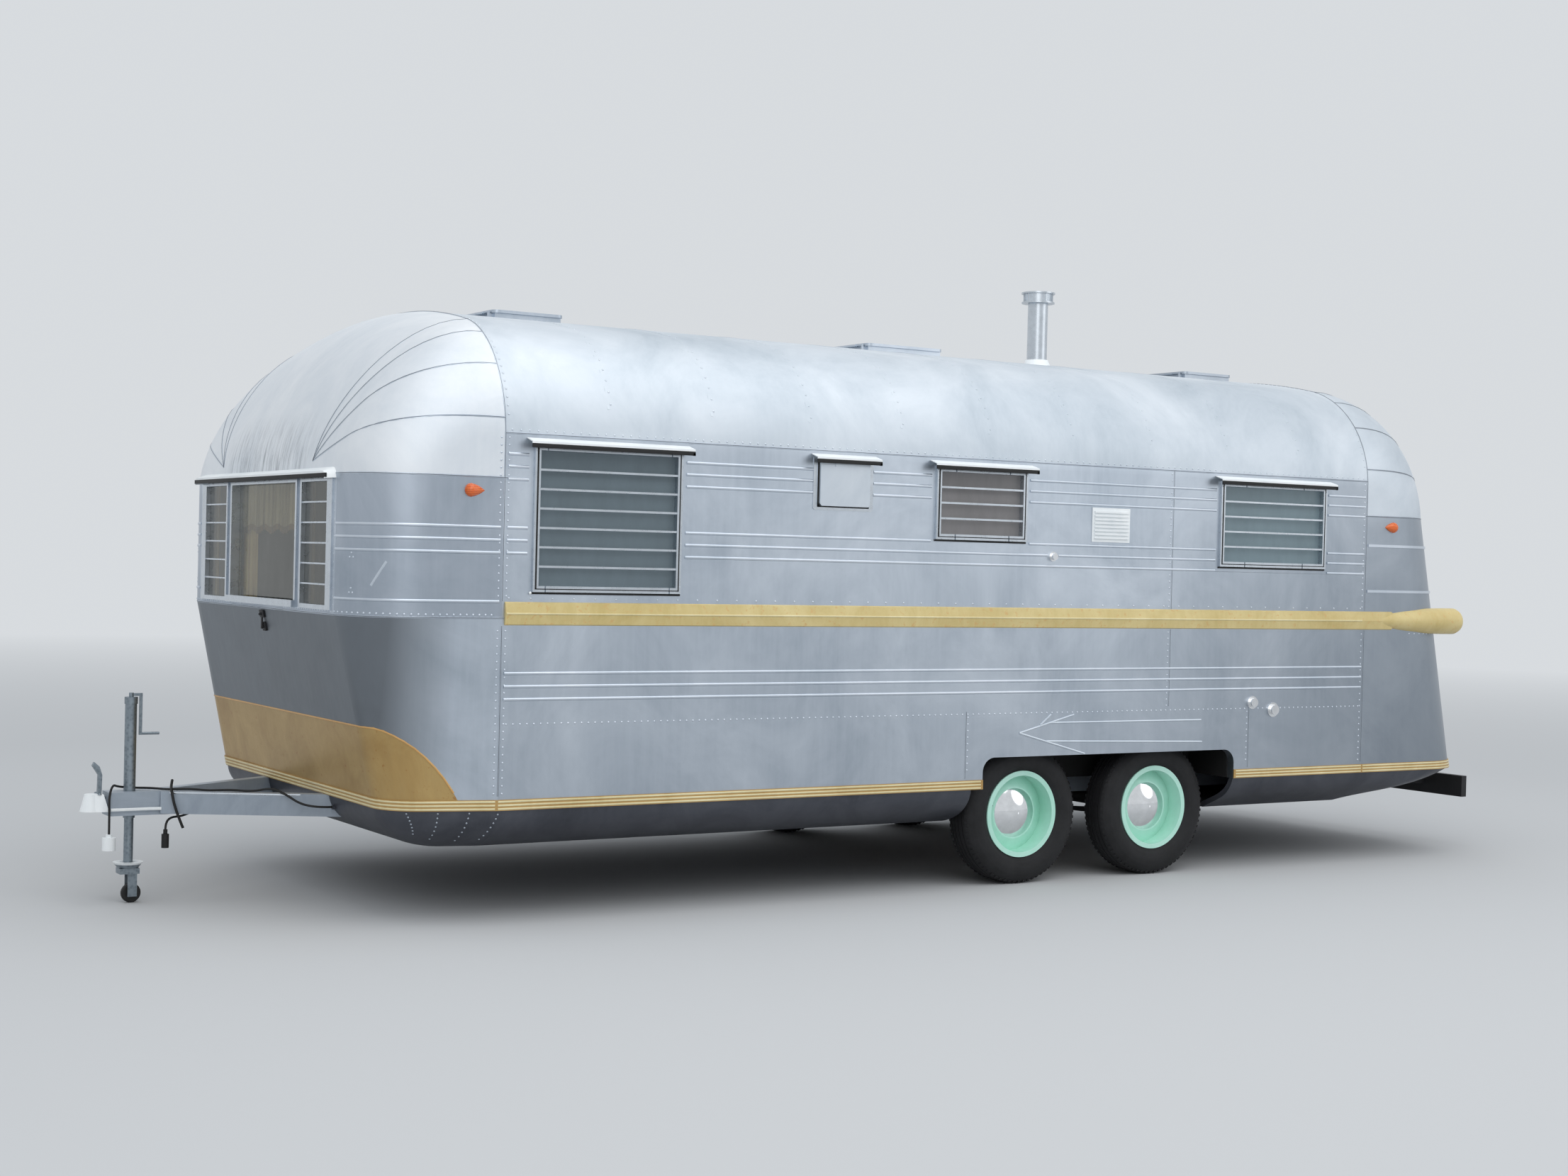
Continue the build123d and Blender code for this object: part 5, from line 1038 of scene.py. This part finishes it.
# Latch on the nose and its keeper
latch = Joined()
latch_plates = ((1.262, 0.052, 0.034), (1.205, 0.040, 0.040))
latch_x = 2.5
for z, width, height in latch_plates:
    at, out = on_skin((latch_x, 0, z), (-1, 0, 0))
    lean = Vector((0, 0, 1)).rotation_difference(Vector((-out.z, 0, out.x))).to_matrix().to_4x4()
    latch.block(at + out * 0.004, (0.008, width, height), 0.002, lean)
    latch.lathe(((0.006, 0.0), (0.006, 0.010), (0.003, 0.014)), at + out * 0.006, out, 16)
at, out = on_skin((latch_x, 0, 1.233), (-1, 0, 0))
latch.block(at + out * 0.010, (0.006, 0.016, 0.075), 0.002)
latch.piece("nose_latch", chassis_black, slot="black_paint")

# Chimney cap slats
chimney_low, chimney_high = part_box("chimney")
chimney_x = (chimney_low.x + chimney_high.x) / 2
chimney_y = (chimney_low.y + chimney_high.y) / 2
slats = Joined()
slat_count = 30
slat_r = 0.0795
slat_z = chimney_high.z - 0.030
for step in range(slat_count):
    angle = 2 * pi * step / slat_count
    place = (chimney_x + slat_r * cos(angle), chimney_y + slat_r * sin(angle), slat_z)
    slats.block(place, (0.004, 0.006, 0.040), turn=Matrix.Rotation(angle, 4, "Z"))
slats.piece("chimney_slats", trim, slot="frame_trim")

# Curtains in the front windows, pleated
curtain_low, curtain_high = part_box("front_curtains")
curtain_mid_x = (curtain_low.x + curtain_high.x) / 2
curtain_foot_z = curtain_low.z + 0.001
valance_foot_z = 1.620
top_z = curtain_high.z - 0.001
columns_per_pleat = 10
row_height = 0.03


def path_length(points):
    return sum((Vector(after) - Vector(before)).length for before, after in zip(points, points[1:]))


def pleated(name, y, width, low_z, pleat, deep, material, hem, shift):
    """Cloth gathered into pleats and hung from its top edge, with a wavy hem."""
    columns = round(width / pleat) * columns_per_pleat
    rows = round((top_z - low_z) / row_height)
    points, faces = [], []
    for row in range(rows + 1):
        share = row / rows
        for column in range(columns + 1):
            place = column / columns
            phase = 2 * pi * place * width / pleat
            sway = 0.35 * sin(1.7 * phase + 2.1 * y) * share
            drop = hem * (0.5 + 0.5 * sin(2 * pi * place * 5 + 0.7)) * share
            reach_x = deep * (0.55 + 0.45 * share) * sin(phase + sway)
            down = (top_z - low_z - drop) * share
            points.append((curtain_mid_x + shift + reach_x, y + (place - 0.5) * width, top_z - down))
    for row in range(rows):
        for column in range(columns):
            a = row * (columns + 1) + column
            faces.append((a, a + 1, a + columns + 2, a + columns + 1))
    made = piece(name, mesh_of(name, points, faces), material, "root")
    if hem:
        made.data.materials.append(curtain_edge)
        for polygon in made.data.polygons[-columns:]:
            polygon.material_index = 1
    return made


# Name, y, width, foot z, pleat, depth, cloth, wave of the hem, shift
curtains = (
    ("valance", -0.060, 0.900, valance_foot_z, 0.030, 0.0045, curtain, 0.02, 0.006),
    ("curtain_left_inner", 0.455, 0.100, curtain_foot_z, 0.025, 0.009, curtain, 0.0, 0.0),
    ("curtain_right_inner", -0.375, 0.250, curtain_foot_z, 0.025, 0.0045, amber_curtain, 0.0, -0.006),
    ("curtain_left_outer", 0.845, 0.085, curtain_foot_z, 0.025, 0.009, curtain, 0.0, 0.0),
    ("curtain_right_outer", -0.845, 0.085, curtain_foot_z, 0.025, 0.009, curtain, 0.0, 0.0),
)
sheets = [pleated(*row) for row in curtains]
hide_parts("front_curtains")


# Cables on the drawbar, and the tie
def cable(name, node, points, diameter):
    """Cord as a smooth curve through the CAD cable's own points."""
    curve = bpy.data.curves.new(name, "CURVE")
    curve.dimensions = "3D"
    curve.resolution_u = 6
    curve.bevel_depth = 1.0
    curve.bevel_resolution = 3
    curve.use_fill_caps = True
    line = curve.splines.new("NURBS")
    line.points.add(len(points) - 1)
    for knot, point in zip(line.points, points):
        knot.co = (*point, 1.0)
        knot.radius = diameter / 2
    line.order_u = 3
    line.use_endpoint_u = True
    curve.materials.append(black_rubber)
    made = placed(name, curve)
    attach(made, "root")
    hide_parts(node)
    curve_length(made)


def curve_length(made):
    """Length of a curve's centreline."""
    bevel = made.data.bevel_depth
    made.data.bevel_depth = 0.0
    bpy.context.view_layer.update()
    outline = made.to_mesh()
    points = [vertex.co.copy() for vertex in outline.vertices]
    made.to_mesh_clear()
    made.data.bevel_depth = bevel
    return round(path_length(points), 3)


tow_points = (
    (2.842, 0.466, 0.437), (2.895, 0.466, 0.437), (2.962, 0.408, 0.446), (3.010, 0.350, 0.486),
    (3.060, 0.304, 0.512), (3.125, 0.246, 0.491), (3.205, 0.196, 0.498), (3.285, 0.146, 0.491),
    (3.360, 0.098, 0.498), (3.430, 0.048, 0.491), (3.500, 0.008, 0.497), (3.562, -0.044, 0.494),
    (3.634, -0.028, 0.503), (3.672, 0.038, 0.520), (3.698, 0.080, 0.477), (3.694, 0.075, 0.395),
    (3.694, 0.075, 0.310),
)
plug_points = (
    (2.842, 0.325, 0.437), (2.892, 0.325, 0.437), (2.965, 0.284, 0.433), (3.060, 0.235, 0.438),
    (3.150, 0.184, 0.431), (3.235, 0.138, 0.438), (3.310, 0.092, 0.412), (3.372, 0.064, 0.374),
    (3.428, 0.068, 0.373), (3.454, 0.083, 0.350), (3.454, 0.083, 0.322),
)
tie_points = (
    (3.408, 0.014, 0.528), (3.424, 0.050, 0.504), (3.438, 0.110, 0.491), (3.424, 0.116, 0.415),
    (3.390, 0.126, 0.330),
)
cable("tow_cord", "tow_cable", tow_points, 0.010)
cable("plug_cord", "plug_cable", plug_points, 0.010)
cable("tie_cord", "cable_tie", tie_points, 0.012)

# Bolts on the drawbar and the coupler, and bright edges on the beams
beam_tree = tree_of("chassis", "coupler", "bumper")
bolt_aim_z = 0.4
beam_start = (2.86, 0.55)
beam_run = (3.56 - 2.86, 0.48)
bolt_places = []
for share in spaced(0.05, 0.95, 0.22):
    bolt_places.append((beam_start[0] + beam_run[0] * share, beam_start[1] - beam_run[1] * share))
bolt_places += [(3.705, 0.030), (3.725, 0.030)]
bolts = []
for x, y in bolt_places:
    for sign in (-1, 1):
        bolts += lay([((x, sign * y, bolt_aim_z), (0, 0, -1))], beam_tree)
rivets("beam_bolts", bolts, 0.009, 0.006, galvanised)


def beam_lines(z, rear_x, front_x, pitch):
    """Lines along both sides of the drawbar at one height."""
    places = spaced(rear_x, front_x, pitch)
    return [lay([((x, 0, z), (0, -sign, 0)) for x in places], beam_tree) for sign in (-1, 1)]


edge_lines = beam_lines(0.481, 2.95, 3.44, 0.06)
ridges("beam_edges", edge_lines, 0.010, 0.0012, trim, "frame_trim")
lip_lines = beam_lines(0.412, 3.47, 3.685, 0.04)
ridges("box_lips", lip_lines, 0.014, 0.004, white, "white_paint")

# Camera as in the photograph
photo_width = 2212
focal_px = 3059.88
heading = radians(237.8097)
pitch = radians(-0.7611)
roll = radians(1.4158)
camera_place = Vector((6.2161, 9.4696, 1.5626))
forward = Vector((cos(pitch) * cos(heading), cos(pitch) * sin(heading), sin(pitch)))
level = forward.cross(Vector((0, 0, 1))).normalized()
upright = level.cross(forward)
right = cos(roll) * level + sin(roll) * upright
up = -sin(roll) * level + cos(roll) * upright
lens_data = bpy.data.cameras.new("photo_camera")
lens_data.sensor_fit = "HORIZONTAL"
lens_data.sensor_width = 36.0
lens_data.lens = lens_data.sensor_width * focal_px / photo_width
camera = placed("photo_camera", lens_data)
camera.matrix_world = Matrix.Translation(camera_place) @ Matrix((right, up, -forward)).transposed().to_4x4()
bpy.context.scene.camera = camera

# Floor, fading into the backdrop far off
backdrop_tone = (0.76, 0.79, 0.82)
backdrop_level = 0.90
fade_start = 8.0
fade_rate = 0.05
ground = Nodes("ground")
x, y, z = ground.position()
squares = ground.math("ADD", ground.math("MULTIPLY", x, x), ground.math("MULTIPLY", y, y))
away = ground.math("SQRT", squares)
far_off = ground.past(away, fade_start, fade_rate)
ground.set(
    Base_Color=ground.mix(far_off, rgb(0.76, 0.765, 0.77), (0.0, 0.0, 0.0)),
    Roughness=0.9,
    Specular_IOR_Level=0.0,
    Emission_Color=backdrop_tone,
    Emission_Strength=ground.math("MULTIPLY", far_off, backdrop_level),
)
reach = 120.0
ground_mesh = mesh_of(
    "ground", [(-reach, -reach, 0), (reach, -reach, 0), (reach, reach, 0), (-reach, reach, 0)], [(0, 1, 2, 3)]
)
ground_mesh.materials.append(ground.made)
placed("ground", ground_mesh)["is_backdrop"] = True

# Pale sky: the camera sees a plain backdrop, and the object is lit by a soft gradient
sky = Nodes("studio", "worlds", "Background", "Generated")
bpy.context.scene.world = sky.made
sky_stops = ((0.0, (0.40, 0.42, 0.44)), (0.12, (0.55, 0.57, 0.60)), (0.55, (0.92, 0.96, 1.00)))
rays = sky.add("ShaderNodeLightPath").outputs
seen = sky.math("MAXIMUM", rays["Is Camera Ray"], rays["Is Glossy Ray"])
seen = sky.math("MAXIMUM", seen, rays["Is Transmission Ray"])
shade = sky.ramp(sky.position()["Z"], *sky_stops)
sky.set(Color=sky.mix(seen, shade, backdrop_tone), Strength=backdrop_level)


def lamp(name, place, aim, size, power):
    """Round soft lamp at a place, turned towards an aim."""
    data = bpy.data.lights.new(name, "AREA")
    data.shape = "DISK"
    data.size = size
    data.energy = power
    light = placed(name, data)
    light.location = place
    light.rotation_mode = "QUATERNION"
    light.rotation_quaternion = (Vector(aim) - Vector(place)).to_track_quat("-Z", "Y")


lamp("overhead", (0.0, 4.0, 10.0), (0.0, 0.0, 1.5), 12.0, 380.0)
lamp("key", (7.0, 11.0, 7.0), (0.5, 0.0, 1.2), 9.0, 190.0)
lamp("fill", (-9.0, 9.0, 6.0), (-1.0, 0.0, 1.2), 8.0, 120.0)

bpy.context.scene.view_settings.view_transform = "Standard"
low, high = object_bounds()
